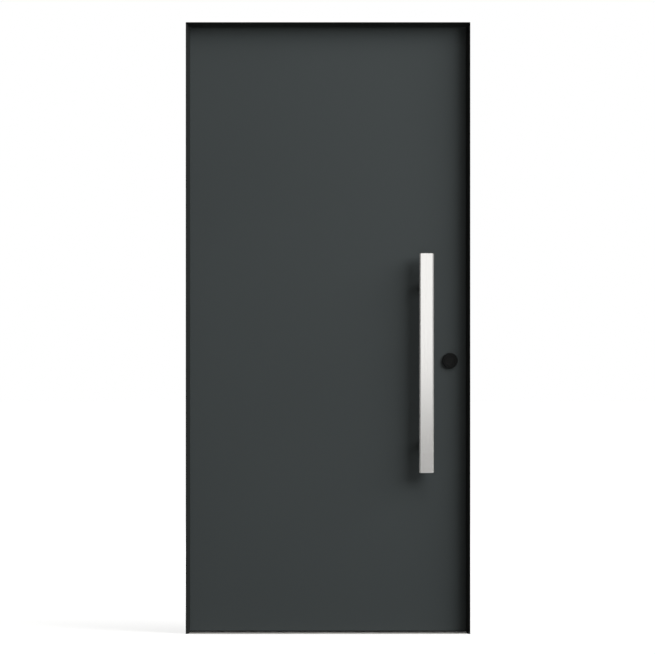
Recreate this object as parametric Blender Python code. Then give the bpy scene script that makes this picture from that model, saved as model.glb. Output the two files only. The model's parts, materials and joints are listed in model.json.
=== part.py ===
"""Security door: a flat steel leaf in a slim frame, hung on three hinges and opening inwards.

Metres, +Z up. The outside looks along -Y, the lock side is +X and the hinge side is -X.
The origin is on the floor, in the middle of the opening and of the frame's depth.
"""

import math

import bmesh
import bpy
from mathutils import Matrix, Vector

# General fits
FIT = 0.0003
ROUND_SEGMENTS = 32
SMALL_SEGMENTS = 20
CORNER_STEPS = 5
SMOOTH_ANGLE = math.radians(35)

# Frame
FRAME_WIDTH = 1.000
FRAME_HEIGHT = 2.150
FRAME_FACE = 0.0142
FRAME_LIP = 0.0018
FRAME_SPLAY_DEPTH = 0.034
FRAME_SHEET = 0.0015
FRAME_SHEET_LAP = 0.012
LEAF_RECESS = 0.049

# Leaf
LEAF_THICKNESS = 0.056
LEAF_GAP = 0.0092
LEAF_FLOOR_GAP = 0.0055
OUTER_PANEL = 0.005
INNER_PANEL = 0.008
PANEL_CHAMFER = 0.0008
EDGE_SHEET = 0.002
EDGE_LIP = 0.018

# Threshold
THRESHOLD_HEIGHT = 0.003
THRESHOLD_SETBACK = 0.0005
THRESHOLD_CHAMFER = 0.0008
THRESHOLD_LAP = 0.0029
THRESHOLD_HOLE_COUNT = 4
THRESHOLD_HOLE_RADIUS = 0.0028
THRESHOLD_HOLE_INSET = 0.120
GROOVE_COUNT = 3
GROOVE_START = 0.014
GROOVE_PITCH = 0.010
GROOVE_WIDTH = 0.002
GROOVE_DEPTH = 0.0008

# Rubber seals
SEAL_SPACE = 0.003
SEAL_HEAD = 0.003
SEAL_STEM = 0.0016
SEAL_STEM_DEPTH = 0.0036
SEAL_GROOVE_PLAY = 0.0003
SEAL_EDGE = 0.0003

# Drop seal in the leaf's bottom edge
DROP_SEAL_WIDTH = 0.014
DROP_SEAL_HEIGHT = 0.016
DROP_SEAL_WALL = 0.0012
DROP_SEAL_END = 0.035
DROP_LIP_DEPTH = 0.012

# Hinges
HINGE_FROM_BOTTOM = 0.240
HINGE_FROM_TOP = 0.240
HINGE_HALF = 0.060
HINGE_CLEARANCE = 0.005
BARREL_RADIUS = 0.010
BARREL_CHAMFER = 0.001
THRUST_RING_RADIUS = 0.0075
THRUST_RING_HEIGHT = 0.002
PIN_RADIUS = 0.005
PIN_LENGTH = 0.045
PIN_CHAMFER = 0.001
PIN_END_ROOM = 0.002
WING_THICKNESS = 0.0035
FRAME_WING_LENGTH = 0.040
LEAF_STRAP_LENGTH = 0.045

# Dog bolts on the hinge edge
DOG_BOLT_OFFSET = 0.130
DOG_BOLT_RADIUS = 0.006
DOG_BOLT_TIP_RADIUS = 0.0045
DOG_BOLT_REACH = 0.0105
DOG_BOLT_TAPER = 0.004
DOG_BOLT_HOLE_PLAY = 0.003
DOG_STRIP_WIDTH = 0.024
DOG_STRIP_THICKNESS = 0.003
DOG_STRIP_MARGIN = 0.030

# Multi-point lock
CYLINDER_HEIGHT = 0.961
BACKSET = 0.0595
LEVER_RISE = 0.092
LOWER_BOLTS_FROM_BOTTOM = 0.400
UPPER_BOLTS_FROM_TOP = 0.450
FACEPLATE_WIDTH = 0.024
PLATE_MARGIN = 0.024
FACEPLATE_CORNER = 0.010
BOLT_RADIUS = 0.009
BOLT_PITCH = 0.028
BOLT_LENGTH = 0.045
MAIN_BOLT_COUNT = 4
AUXILIARY_BOLT_COUNT = 2
CARRIAGE_THICKNESS = 0.010
CARRIAGE_HALF_WIDTH = 0.0075
LATCH_HEIGHT = 0.022
LATCH_HALF_WIDTH = 0.008
LATCH_LENGTH = 0.030
LATCH_BEVEL = 0.010
LATCH_TIP = 0.004

# Strikes in the lock jamb
STRIKE_WIDTH = 0.036
STRIKE_THICKNESS = 0.0012
STRIKE_CORNER = 0.005
STRIKE_PLAY = 0.002
STRIKE_BACK_PLAY = 0.002

# Pull bar on the outside
PULL_CENTRE_FROM_EDGE = 0.143
PULL_BOTTOM = 0.566
PULL_LENGTH = 0.7725
PULL_WIDTH = 0.0515
PULL_THICKNESS = 0.020
PULL_STANDOFF = 0.040
PULL_CHAMFER = 0.0045
POST_RADIUS = 0.011
POST_INSET = 0.110
POST_FOOT_RADIUS = 0.015
POST_FOOT_HEIGHT = 0.003

# Cylinder guard on the outside
GUARD_RADIUS = 0.027
GUARD_HEIGHT = 0.010
GUARD_ROUNDING = 0.0025
COVER_RADIUS = 0.0195
COVER_RISE = 0.001

# Roses, lever and thumb turn on the inside
ROSE_RADIUS = 0.026
ROSE_HEIGHT = 0.009
ROSE_ROUNDING = 0.002
NECK_RADIUS = 0.0085
NECK_LENGTH = 0.048
LEVER_LENGTH = 0.125
LEVER_BEND = 0.014
LEVER_HALF_HEIGHT = 0.0095
LEVER_HALF_DEPTH = 0.0050
LEVER_BEND_STEPS = 5
LEVER_TIP_STEPS = 4
TURN_STEM_RADIUS = 0.0065
TURN_LENGTH = 0.030
TURN_HALF_HEIGHT = 0.017
TURN_HALF_WIDTH = 0.0045
TURN_SHOULDER = 0.017
TURN_ROUNDING = 0.002

# Places that follow from the sizes above
FRAME_DEPTH = LEAF_RECESS + LEAF_THICKNESS
WALL_X = FRAME_WIDTH / 2
FRONT_Y = -FRAME_DEPTH / 2
BACK_Y = FRAME_DEPTH / 2
LEAF_FRONT_Y = FRONT_Y + LEAF_RECESS
LEAF_BACK_Y = LEAF_FRONT_Y + LEAF_THICKNESS
STOP_BACK_Y = LEAF_FRONT_Y - SEAL_SPACE
LEAF_X = WALL_X - FRAME_SHEET - LEAF_GAP
LEAF_TOP = FRAME_HEIGHT - FRAME_SHEET - LEAF_GAP
LEAF_BOTTOM = THRESHOLD_HEIGHT + LEAF_FLOOR_GAP
EDGE_FRONT_Y = LEAF_FRONT_Y + OUTER_PANEL + FIT
EDGE_BACK_Y = LEAF_BACK_Y - INNER_PANEL - FIT
LOCK_Y = (EDGE_FRONT_Y + EDGE_BACK_Y) / 2
HINGE_X = -LEAF_X
HINGE_Y = LEAF_BACK_Y + HINGE_CLEARANCE + BARREL_RADIUS
LOCK_X = LEAF_X - BACKSET
LEVER_HEIGHT = CYLINDER_HEIGHT + LEVER_RISE
PULL_X = LEAF_X - PULL_CENTRE_FROM_EDGE
FRAME_RECT = (-WALL_X, WALL_X, 0.0, FRAME_HEIGHT)
LEAF_RECT = (-LEAF_X, LEAF_X, LEAF_BOTTOM, LEAF_TOP)
SHEET_FRONT_Y = STOP_BACK_Y - FRAME_SHEET_LAP
HINGE_HEIGHTS = {
    "lower": HINGE_FROM_BOTTOM,
    "middle": (HINGE_FROM_BOTTOM + FRAME_HEIGHT - HINGE_FROM_TOP) / 2,
    "upper": FRAME_HEIGHT - HINGE_FROM_TOP,
}

# Ways to turn a piece made along +Z
TO_OUTSIDE = (math.radians(90), 0.0, 0.0)
TO_INSIDE = (math.radians(-90), 0.0, 0.0)


def clear_scene():
    for obj in list(bpy.data.objects):
        bpy.data.objects.remove(obj, do_unlink=True)


def make_material(name, colour, roughness, metallic):
    material = bpy.data.materials.new(name)
    material.use_nodes = True
    shader = material.node_tree.nodes["Principled BSDF"]
    shader.inputs["Base Color"].default_value = (*colour, 1.0)
    shader.inputs["Roughness"].default_value = roughness
    shader.inputs["Metallic"].default_value = metallic
    material.diffuse_color = (*colour, 1.0)
    return material


def make_materials():
    return {
        "frame": make_material("black_frame_paint", (0.019, 0.020, 0.0195), 0.45, 0.0),
        "panel": make_material("anthracite_panel", (0.052, 0.059, 0.062), 0.50, 0.0),
        "edge": make_material("anthracite_edge", (0.035, 0.038, 0.040), 0.45, 0.0),
        "core": make_material("mineral_core", (0.32, 0.28, 0.20), 0.95, 0.0),
        "steel": make_material("brushed_steel", (0.70, 0.69, 0.67), 0.30, 1.0),
        "zinc": make_material("zinc_plate", (0.55, 0.56, 0.57), 0.38, 1.0),
        "sill": make_material("sill_aluminium", (0.62, 0.61, 0.59), 0.42, 1.0),
        "rubber": make_material("black_rubber", (0.012, 0.012, 0.012), 0.75, 0.0),
        "black": make_material("black_fitting", (0.011, 0.012, 0.012), 0.35, 0.0),
    }


def add_object(name, bm, material, location, rotation=(0.0, 0.0, 0.0), parent=None):
    """Turn a bmesh into an object; its parent, if any, is an unturned empty."""
    bmesh.ops.recalc_face_normals(bm, faces=bm.faces)
    mesh = bpy.data.meshes.new(name)
    bm.to_mesh(mesh)
    bm.free()
    if material:
        mesh.materials.append(material)
    obj = bpy.data.objects.new(name, mesh)
    bpy.context.scene.collection.objects.link(obj)
    obj.location = location
    obj.rotation_euler = rotation
    if parent:
        obj.parent = parent
        obj.matrix_parent_inverse = Matrix.Translation(-parent.location)
    return obj


def add_axis(name, location):
    empty = bpy.data.objects.new(name, None)
    empty.location = location
    bpy.context.scene.collection.objects.link(empty)
    return empty


def smooth(obj):
    obj.data.shade_smooth()
    obj.data.set_sharp_from_angle(angle=SMOOTH_ANGLE)
    return obj


def combine(target, tool, operation):
    """Cut a hidden tool object from the target, or join it to the target."""
    tool.hide_render = True
    tool.display_type = "WIRE"
    modifier = target.modifiers.new(tool.name, "BOOLEAN")
    modifier.operation = operation
    modifier.solver = "EXACT"
    modifier.object = tool


def add_block(name, low, high, material, parent=None, chamfer=0.0, chamfer_side=None):
    """Make a box from two corners; chamfer_side is the outward normal whose rim is chamfered."""
    low = Vector(low)
    high = Vector(high)
    bm = bmesh.new()
    bmesh.ops.create_cube(bm, size=1.0, matrix=Matrix.Diagonal((*(high - low), 1.0)))
    if chamfer:
        normal = Vector(chamfer_side)
        bm.normal_update()
        face = max(bm.faces, key=lambda item: item.normal.dot(normal))
        bmesh.ops.bevel(bm, geom=list(face.edges), offset=chamfer, segments=1, affect="EDGES")
    return add_object(name, bm, material, (low + high) / 2, parent=parent)


def add_blocks(name, boxes, parent=None):
    """Put separate boxes into one tool object."""
    bm = bmesh.new()
    for low, high in boxes:
        centre = (Vector(low) + Vector(high)) / 2
        size = Vector(high) - Vector(low)
        matrix = Matrix.Translation(centre) @ Matrix.Diagonal((*size, 1.0))
        bmesh.ops.create_cube(bm, size=1.0, matrix=matrix)
    return add_object(name, bm, None, (0.0, 0.0, 0.0), parent=parent)


def skin_rings(bm, rings):
    """Close a row of equal rings into one solid with flat ends."""
    count = len(rings[0])
    for first, second in zip(rings, rings[1:]):
        for index in range(count):
            after = (index + 1) % count
            bm.faces.new((first[index], first[after], second[after], second[index]))
    bm.faces.new(rings[0])
    bm.faces.new(rings[-1])


def ellipse_ring(bm, centre, across, along, count):
    """Place one ring of points; across and along are the half axes as vectors."""
    angles = [math.tau * index / count for index in range(count)]
    return [bm.verts.new(centre + across * math.cos(a) + along * math.sin(a)) for a in angles]


def add_rods(name, centres, stations, axis, parent=None, segments=SMALL_SEGMENTS):
    """Put separate round rods into one tool object.

    Each rod runs along the axis; stations are its (radius, reach) pairs from the centre.
    """
    axis = Vector(axis)
    across = axis.orthogonal().normalized()
    along = axis.cross(across)
    bm = bmesh.new()
    for centre in centres:
        skin_rings(
            bm,
            [
                ellipse_ring(bm, centre + axis * reach, across * radius, along * radius, segments)
                for radius, reach in stations
            ],
        )
    return smooth(add_object(name, bm, None, (0.0, 0.0, 0.0), parent=parent))


def add_prism(name, outline, low, high, material, location, parent=None, along="z"):
    """Extrude an outline from low to high: (x, y) points along z, or (y, z) points along x."""
    bm = bmesh.new()
    rings = []
    for reach in (low, high):
        places = [(a, b, reach) if along == "z" else (reach, a, b) for a, b in outline]
        rings.append([bm.verts.new(place) for place in places])
    skin_rings(bm, rings)
    return add_object(name, bm, material, location, parent=parent)


def add_turned(name, profile, material, location, rotation, parent=None, segments=ROUND_SEGMENTS):
    """Spin a profile of (radius, height) points round the local Z axis.

    The profile starts and ends on the axis, or is closed when it stays off the axis.
    """
    bm = bmesh.new()
    verts = [bm.verts.new((radius, 0.0, height)) for radius, height in profile]
    pairs = list(zip(verts, verts[1:]))
    if profile[0][0] > 0.0:
        pairs.append((verts[-1], verts[0]))
    edges = [bm.edges.new(pair) for pair in pairs]
    bmesh.ops.spin(
        bm,
        geom=verts + edges,
        cent=(0.0, 0.0, 0.0),
        axis=(0.0, 0.0, 1.0),
        angle=math.tau,
        steps=segments,
        use_merge=True,
    )
    bmesh.ops.remove_doubles(bm, verts=bm.verts, dist=1e-6)
    return smooth(add_object(name, bm, material, location, rotation, parent))


def add_rim_bar(name, side, section, rect, material, parent=None, mitres=(True, True)):
    """Extrude a section along one side of an upright rectangle, mitred at its corners.

    The section holds (inwards, depth) points and rect is (left, right, bottom, top).
    """
    left, right, bottom, top = rect
    corner = Vector((right if side == "right" else left, 0.0, top if side == "top" else bottom))
    bm = bmesh.new()
    rings = []
    for at_end, mitred in zip((False, True), mitres):
        ring = []
        for inwards, depth in section:
            shorter = inwards + FIT if mitred else 0.0
            if side in ("left", "right"):
                x = left + inwards if side == "left" else right - inwards
                z = top - shorter if at_end else bottom + shorter
            else:
                x = right - shorter if at_end else left + shorter
                z = bottom + inwards if side == "bottom" else top - inwards
            ring.append(bm.verts.new(Vector((x, depth, z)) - corner))
        rings.append(ring)
    skin_rings(bm, rings)
    return add_object(name, bm, material, corner, parent=parent)


def rounded_plate(half_width, bottom, top, radius):
    """Upright plate outline with rounded corners, as (across, height) points."""
    points = []
    corners = (
        (half_width - radius, bottom + radius, -90),
        (half_width - radius, top - radius, 0),
        (radius - half_width, top - radius, 90),
        (radius - half_width, bottom + radius, 180),
    )
    for across, height, start in corners:
        for index in range(CORNER_STEPS + 1):
            angle = math.radians(start + 90 * index / CORNER_STEPS)
            points.append((across + radius * math.cos(angle), height + radius * math.sin(angle)))
    return points


def quarter_round(radius, height, rounding):
    """Points of a rounded outer edge, from the side up to the top."""
    points = []
    for index in range(CORNER_STEPS + 1):
        angle = math.radians(90) * index / CORNER_STEPS
        across = radius - rounding + rounding * math.cos(angle)
        points.append((across, height - rounding + rounding * math.sin(angle)))
    return points


def lock_points():
    """List the lock's three places on the edge, each with its bolts, latch and plate ends."""
    rows = {
        "lower": (LOWER_BOLTS_FROM_BOTTOM, AUXILIARY_BOLT_COUNT),
        "main": (CYLINDER_HEIGHT, MAIN_BOLT_COUNT),
        "upper": (FRAME_HEIGHT - UPPER_BOLTS_FROM_TOP, AUXILIARY_BOLT_COUNT),
    }
    points = {}
    for name, (height, count) in rows.items():
        start = height - BOLT_PITCH * (count - 1) / 2
        bolts = [start + BOLT_PITCH * index for index in range(count)]
        latch = LEVER_HEIGHT if name == "main" else None
        highest = latch + LATCH_HEIGHT / 2 if latch else bolts[-1] + BOLT_RADIUS
        points[name] = {
            "bolts": bolts,
            "latch": latch,
            "bottom": bolts[0] - BOLT_RADIUS - PLATE_MARGIN,
            "top": highest + PLATE_MARGIN,
        }
    return points


def dog_bolt_heights():
    """Each dog bolt lies above its hinge, except the top one, which lies below."""
    return {
        name: height - DOG_BOLT_OFFSET if name == "upper" else height + DOG_BOLT_OFFSET
        for name, height in HINGE_HEIGHTS.items()
    }


def stop_section():
    """Section of the stop: a lip and a splay outside, a seal groove and a rebate for the sheet."""
    groove = SEAL_STEM / 2 + SEAL_GROOVE_PLAY
    middle = FRAME_FACE - SEAL_EDGE - SEAL_HEAD / 2
    groove_y = STOP_BACK_Y - SEAL_STEM_DEPTH - SEAL_GROOVE_PLAY
    rebate = FRAME_SHEET + FIT
    return [
        (0.0, FRONT_Y),
        (FRAME_LIP, FRONT_Y),
        (FRAME_FACE, FRONT_Y + FRAME_SPLAY_DEPTH),
        (FRAME_FACE, STOP_BACK_Y),
        (middle + groove, STOP_BACK_Y),
        (middle + groove, groove_y),
        (middle - groove, groove_y),
        (middle - groove, STOP_BACK_Y),
        (rebate, STOP_BACK_Y),
        (rebate, SHEET_FRONT_Y),
        (0.0, SHEET_FRONT_Y),
    ]


def sheet_section():
    """Section of the steel sheet that lines the wall behind the stop."""
    front_y = SHEET_FRONT_Y + FIT
    return [(0.0, front_y), (FRAME_SHEET, front_y), (FRAME_SHEET, BACK_Y), (0.0, BACK_Y)]


def seal_section():
    """Section of the rubber seal: a stem in the stop's groove and a head towards the leaf."""
    middle = FRAME_FACE - SEAL_EDGE - SEAL_HEAD / 2
    stem = SEAL_STEM / 2
    head = SEAL_HEAD / 2
    stem_y = STOP_BACK_Y - SEAL_STEM_DEPTH
    back_y = STOP_BACK_Y + FIT
    face_y = LEAF_FRONT_Y - FIT
    return [
        (middle - stem, stem_y),
        (middle + stem, stem_y),
        (middle + stem, back_y),
        (middle + head, back_y),
        (middle + stem, face_y),
        (middle - stem, face_y),
        (middle - head, back_y),
        (middle - stem, back_y),
    ]


def edge_section():
    """Section of the leaf's rim: a channel that is open towards the core."""
    t = EDGE_SHEET
    return [
        (0.0, EDGE_FRONT_Y),
        (EDGE_LIP, EDGE_FRONT_Y),
        (EDGE_LIP, EDGE_FRONT_Y + t),
        (t, EDGE_FRONT_Y + t),
        (t, EDGE_BACK_Y - t),
        (EDGE_LIP, EDGE_BACK_Y - t),
        (EDGE_LIP, EDGE_BACK_Y),
        (0.0, EDGE_BACK_Y),
    ]


def strike_slots(point, play):
    """Boxes for the bolt row and the latch, larger than both by the play on every side."""
    inner = WALL_X - 2 * FRAME_SHEET - STRIKE_THICKNESS
    outer = WALL_X + FRAME_SHEET
    bolts = point["bolts"]
    spans = [(BOLT_RADIUS + play, bolts[0] - BOLT_RADIUS - play, bolts[-1] + BOLT_RADIUS + play)]
    if point["latch"]:
        half = LATCH_HEIGHT / 2 + play
        spans.append((LATCH_HALF_WIDTH + play, point["latch"] - half, point["latch"] + half))
    return [
        ((inner, LOCK_Y - across, bottom), (outer, LOCK_Y + across, top))
        for across, bottom, top in spans
    ]


def build_frame(materials):
    paint = materials["frame"]
    sheet = sheet_section()
    stop = stop_section()
    upright = (False, True)
    hinge_jamb = add_rim_bar("hinge_jamb", "left", sheet, FRAME_RECT, paint, mitres=upright)
    lock_jamb = add_rim_bar("lock_jamb", "right", sheet, FRAME_RECT, paint, mitres=upright)
    add_rim_bar("frame_head", "top", sheet, FRAME_RECT, paint)
    hinge_stop = add_rim_bar("hinge_stop", "left", stop, FRAME_RECT, paint, mitres=upright)
    lock_stop = add_rim_bar("lock_stop", "right", stop, FRAME_RECT, paint, mitres=upright)
    add_rim_bar("head_stop", "top", stop, FRAME_RECT, paint)

    foot_x = WALL_X - FRAME_FACE + THRESHOLD_LAP + FIT
    inner_x = WALL_X - FRAME_FACE - FRAME_SHEET
    foot_top = THRESHOLD_HEIGHT + FIT
    for target, low_x, high_x in (
        (hinge_stop, -foot_x, -inner_x),
        (lock_stop, inner_x, foot_x),
    ):
        foot = ((low_x, FRONT_Y - FRAME_SHEET, -foot_top), (high_x, LEAF_FRONT_Y, foot_top))
        combine(target, add_blocks("foot_" + target.name, [foot]), "DIFFERENCE")

    centres = [Vector((-WALL_X, LOCK_Y, height)) for height in dog_bolt_heights().values()]
    hole = DOG_BOLT_RADIUS + DOG_BOLT_HOLE_PLAY
    reach = 2 * FRAME_SHEET
    holes = add_rods("dog_bolt_holes", centres, ((hole, -reach), (hole, reach)), (1, 0, 0))
    combine(hinge_jamb, holes, "DIFFERENCE")
    slots = []
    for point in lock_points().values():
        slots.extend(strike_slots(point, STRIKE_PLAY + STRIKE_BACK_PLAY))
    combine(lock_jamb, add_blocks("jamb_slots", slots), "DIFFERENCE")


def build_strikes(materials):
    outer = WALL_X - FRAME_SHEET - FIT
    for name, point in lock_points().items():
        outline = rounded_plate(STRIKE_WIDTH / 2, point["bottom"], point["top"], STRIKE_CORNER)
        strike = add_prism(
            "strike_" + name,
            outline,
            -STRIKE_THICKNESS,
            0.0,
            materials["zinc"],
            (outer, LOCK_Y, 0.0),
            along="x",
        )
        slots = add_blocks("strike_slots_" + name, strike_slots(point, STRIKE_PLAY))
        combine(strike, slots, "DIFFERENCE")


def build_seals(materials):
    rect = (-WALL_X, WALL_X, THRESHOLD_HEIGHT + FIT, FRAME_HEIGHT)
    section = seal_section()
    rubber = materials["rubber"]
    add_rim_bar("seal_hinge_side", "left", section, rect, rubber, mitres=(False, True))
    add_rim_bar("seal_lock_side", "right", section, rect, rubber, mitres=(False, True))
    add_rim_bar("seal_head", "top", section, rect, rubber)


def build_threshold(materials):
    """Low metal strip with a chamfered nose and grip grooves, notched round the stops."""
    height = THRESHOLD_HEIGHT
    front_y = FRONT_Y + THRESHOLD_SETBACK
    back_x = WALL_X - FRAME_SHEET - FIT
    section = [
        (front_y, 0.0),
        (front_y, height - THRESHOLD_CHAMFER),
        (front_y + THRESHOLD_CHAMFER, height),
    ]
    for index in range(GROOVE_COUNT):
        middle = front_y + GROOVE_START + GROOVE_PITCH * index
        section.append((middle - GROOVE_WIDTH / 2, height))
        section.append((middle - GROOVE_WIDTH / 2, height - GROOVE_DEPTH))
        section.append((middle + GROOVE_WIDTH / 2, height - GROOVE_DEPTH))
        section.append((middle + GROOVE_WIDTH / 2, height))
    section.append((BACK_Y, height))
    section.append((BACK_Y, 0.0))
    threshold = add_prism(
        "threshold", section, -back_x, back_x, materials["sill"], (0.0, 0.0, 0.0), along="x"
    )

    front_x = WALL_X - FRAME_FACE + THRESHOLD_LAP
    notch_y = STOP_BACK_Y + FIT
    notches = [
        ((low_x, FRONT_Y - height, -height), (high_x, notch_y, 2 * height))
        for low_x, high_x in ((-WALL_X, -front_x), (front_x, WALL_X))
    ]
    combine(threshold, add_blocks("threshold_notches", notches), "DIFFERENCE")
    run = 2 * (WALL_X - THRESHOLD_HOLE_INSET)
    step = run / (THRESHOLD_HOLE_COUNT - 1)
    centres = [
        Vector((-run / 2 + step * index, LOCK_Y, 0.0)) for index in range(THRESHOLD_HOLE_COUNT)
    ]
    stations = ((THRESHOLD_HOLE_RADIUS, -height), (THRESHOLD_HOLE_RADIUS, 2 * height))
    holes = add_rods("threshold_holes", centres, stations, (0, 0, 1))
    combine(threshold, holes, "DIFFERENCE")


def build_leaf_shell(materials, axis):
    left, right, bottom, top = LEAF_RECT
    add_block(
        "outer_panel",
        (left, LEAF_FRONT_Y, bottom),
        (right, LEAF_FRONT_Y + OUTER_PANEL, top),
        materials["panel"],
        axis,
        PANEL_CHAMFER,
        (0, -1, 0),
    )
    add_block(
        "inner_panel",
        (left, LEAF_BACK_Y - INNER_PANEL, bottom),
        (right, LEAF_BACK_Y, top),
        materials["panel"],
        axis,
        PANEL_CHAMFER,
        (0, 1, 0),
    )
    section = edge_section()
    edges = {}
    for name, side in (("hinge", "left"), ("lock", "right"), ("top", "top"), ("bottom", "bottom")):
        edges[name] = add_rim_bar(
            "leaf_edge_" + name, side, section, LEAF_RECT, materials["edge"], axis
        )
    inset = EDGE_SHEET + FIT
    core = add_block(
        "leaf_core",
        (left + inset, EDGE_FRONT_Y + inset, bottom + inset),
        (right - inset, EDGE_BACK_Y - inset, top - inset),
        materials["core"],
        axis,
    )
    return core, edges


def build_drop_seal(materials, axis, core, edge):
    """Aluminium channel in the bottom edge with a rubber lip drawn up into it."""
    half = DROP_SEAL_WIDTH / 2
    wall = DROP_SEAL_WALL
    end_x = LEAF_X - DROP_SEAL_END
    section = [
        (-half, 0.0),
        (-half + wall, 0.0),
        (-half + wall, DROP_SEAL_HEIGHT - wall),
        (half - wall, DROP_SEAL_HEIGHT - wall),
        (half - wall, 0.0),
        (half, 0.0),
        (half, DROP_SEAL_HEIGHT),
        (-half, DROP_SEAL_HEIGHT),
    ]
    place = (0.0, LOCK_Y, LEAF_BOTTOM)
    add_prism(
        "drop_seal_channel", section, -end_x, end_x, materials["sill"], place, axis, along="x"
    )
    inner = half - wall - FIT
    add_block(
        "drop_seal_lip",
        (-end_x, LOCK_Y - inner, LEAF_BOTTOM),
        (end_x, LOCK_Y + inner, LEAF_BOTTOM + DROP_LIP_DEPTH),
        materials["rubber"],
        axis,
    )
    groove = (
        (-end_x - FIT, LOCK_Y - half - FIT, LEAF_BOTTOM - EDGE_SHEET),
        (end_x + FIT, LOCK_Y + half + FIT, LEAF_BOTTOM + DROP_SEAL_HEIGHT + FIT),
    )
    combine(core, add_blocks("drop_seal_groove", [groove], axis), "DIFFERENCE")
    combine(edge, add_blocks("drop_seal_slot", [groove], axis), "DIFFERENCE")


def build_lock(materials, axis, core, edge):
    """One long faceplate flush in the lock edge, with its bolts and latch drawn in."""
    points = lock_points()
    bottom = points["lower"]["bottom"]
    top = points["upper"]["top"]
    half_plate = FACEPLATE_WIDTH / 2
    plate = add_prism(
        "lock_faceplate",
        rounded_plate(half_plate, bottom, top, FACEPLATE_CORNER),
        -EDGE_SHEET,
        0.0,
        materials["zinc"],
        (LEAF_X, LOCK_Y, 0.0),
        axis,
        along="x",
    )
    cutout = add_prism(
        "faceplate_cutout",
        rounded_plate(half_plate + FIT, bottom - FIT, top + FIT, FACEPLATE_CORNER + FIT),
        -2 * EDGE_SHEET,
        EDGE_SHEET,
        None,
        (LEAF_X, LOCK_Y, 0.0),
        axis,
        along="x",
    )
    combine(edge, cutout, "DIFFERENCE")
    centres = []
    pockets = []
    for name, point in points.items():
        bolts = point["bolts"]
        centres.extend(Vector((LEAF_X, LOCK_Y, height)) for height in bolts)
        room = BOLT_RADIUS + FIT
        pockets.append(
            (
                (LEAF_X - BOLT_LENGTH - FIT, LOCK_Y - room, bolts[0] - room),
                (LEAF_X, LOCK_Y + room, bolts[-1] + room),
            )
        )
        build_bolt_row(name, bolts, materials, axis)
    hole = BOLT_RADIUS + FIT
    reach = 2 * EDGE_SHEET
    holes = add_rods("bolt_holes", centres, ((hole, -reach), (hole, reach)), (1, 0, 0), axis)
    combine(plate, holes, "DIFFERENCE")

    across = LATCH_HALF_WIDTH + FIT
    half_latch = LATCH_HEIGHT / 2 + FIT
    latch_pocket = (
        (LEAF_X - LATCH_LENGTH - FIT, LOCK_Y - across, LEVER_HEIGHT - half_latch),
        (LEAF_X + EDGE_SHEET, LOCK_Y + across, LEVER_HEIGHT + half_latch),
    )
    combine(plate, add_blocks("latch_hole", [latch_pocket], axis), "DIFFERENCE")
    combine(core, add_blocks("lock_pockets", [*pockets, latch_pocket], axis), "DIFFERENCE")
    build_latch(materials, axis)


def build_bolt_row(name, bolts, materials, axis):
    """Round bolts on the carriage that throws them, drawn in flush with the faceplate."""
    back = LEAF_X - BOLT_LENGTH
    carriage = add_block(
        name + "_bolts",
        (back, LOCK_Y - CARRIAGE_HALF_WIDTH, bolts[0]),
        (back + CARRIAGE_THICKNESS, LOCK_Y + CARRIAGE_HALF_WIDTH, bolts[-1]),
        materials["steel"],
        axis,
    )
    centres = [Vector((back, LOCK_Y, height)) for height in bolts]
    stations = ((BOLT_RADIUS, 0.0), (BOLT_RADIUS, BOLT_LENGTH))
    rods = add_rods("bolt_rods_" + name, centres, stations, (1, 0, 0), axis)
    combine(carriage, rods, "UNION")


def build_latch(materials, axis):
    outline = [
        (-LATCH_LENGTH, -LATCH_HALF_WIDTH),
        (-LATCH_BEVEL, -LATCH_HALF_WIDTH),
        (0.0, LATCH_HALF_WIDTH - LATCH_TIP),
        (0.0, LATCH_HALF_WIDTH),
        (-LATCH_LENGTH, LATCH_HALF_WIDTH),
    ]
    half = LATCH_HEIGHT / 2
    place = (LEAF_X, LOCK_Y, LEVER_HEIGHT)
    add_prism("latch_bolt", outline, -half, half, materials["steel"], place, axis)


def build_dog_bolts(materials, axis, core, edge):
    """Tapered pins on one strip behind the hinge edge; shut, they stand in the jamb's holes."""
    heights = dog_bolt_heights().values()
    inner = -LEAF_X + EDGE_SHEET + FIT
    bottom = min(heights) - DOG_STRIP_MARGIN
    top = max(heights) + DOG_STRIP_MARGIN
    half = DOG_STRIP_WIDTH / 2
    strip = add_block(
        "dog_bolt_strip",
        (inner, LOCK_Y - half, bottom),
        (inner + DOG_STRIP_THICKNESS, LOCK_Y + half, top),
        materials["zinc"],
        axis,
    )
    root = inner + DOG_STRIP_THICKNESS / 2 + LEAF_X
    stations = (
        (DOG_BOLT_RADIUS, -root),
        (DOG_BOLT_RADIUS, DOG_BOLT_REACH - DOG_BOLT_TAPER),
        (DOG_BOLT_TIP_RADIUS, DOG_BOLT_REACH),
    )
    centres = [Vector((-LEAF_X, LOCK_Y, height)) for height in heights]
    pins = add_rods("dog_bolt_pins", centres, stations, (-1, 0, 0), axis)
    combine(strip, pins, "UNION")
    hole = DOG_BOLT_RADIUS + FIT
    reach = 2 * EDGE_SHEET
    holes = add_rods("dog_bolt_edge_holes", centres, ((hole, -reach), (hole, reach)), (1, 0, 0), axis)
    combine(edge, holes, "DIFFERENCE")
    groove = (
        (inner - EDGE_SHEET, LOCK_Y - half - FIT, bottom - FIT),
        (inner + DOG_STRIP_THICKNESS + FIT, LOCK_Y + half + FIT, top + FIT),
    )
    combine(core, add_blocks("dog_strip_groove", [groove], axis), "DIFFERENCE")


def hinge_wing():
    """Plan of the frame half's wing, which lies on the jamb and reaches into the barrel."""
    outer = -WALL_X + FRAME_SHEET + FIT - HINGE_X
    front_y = BACK_Y - FRAME_WING_LENGTH - HINGE_Y
    inner = outer + WING_THICKNESS
    return [(outer, front_y), (inner, front_y), (inner, 0.0), (outer, 0.0)]


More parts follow.
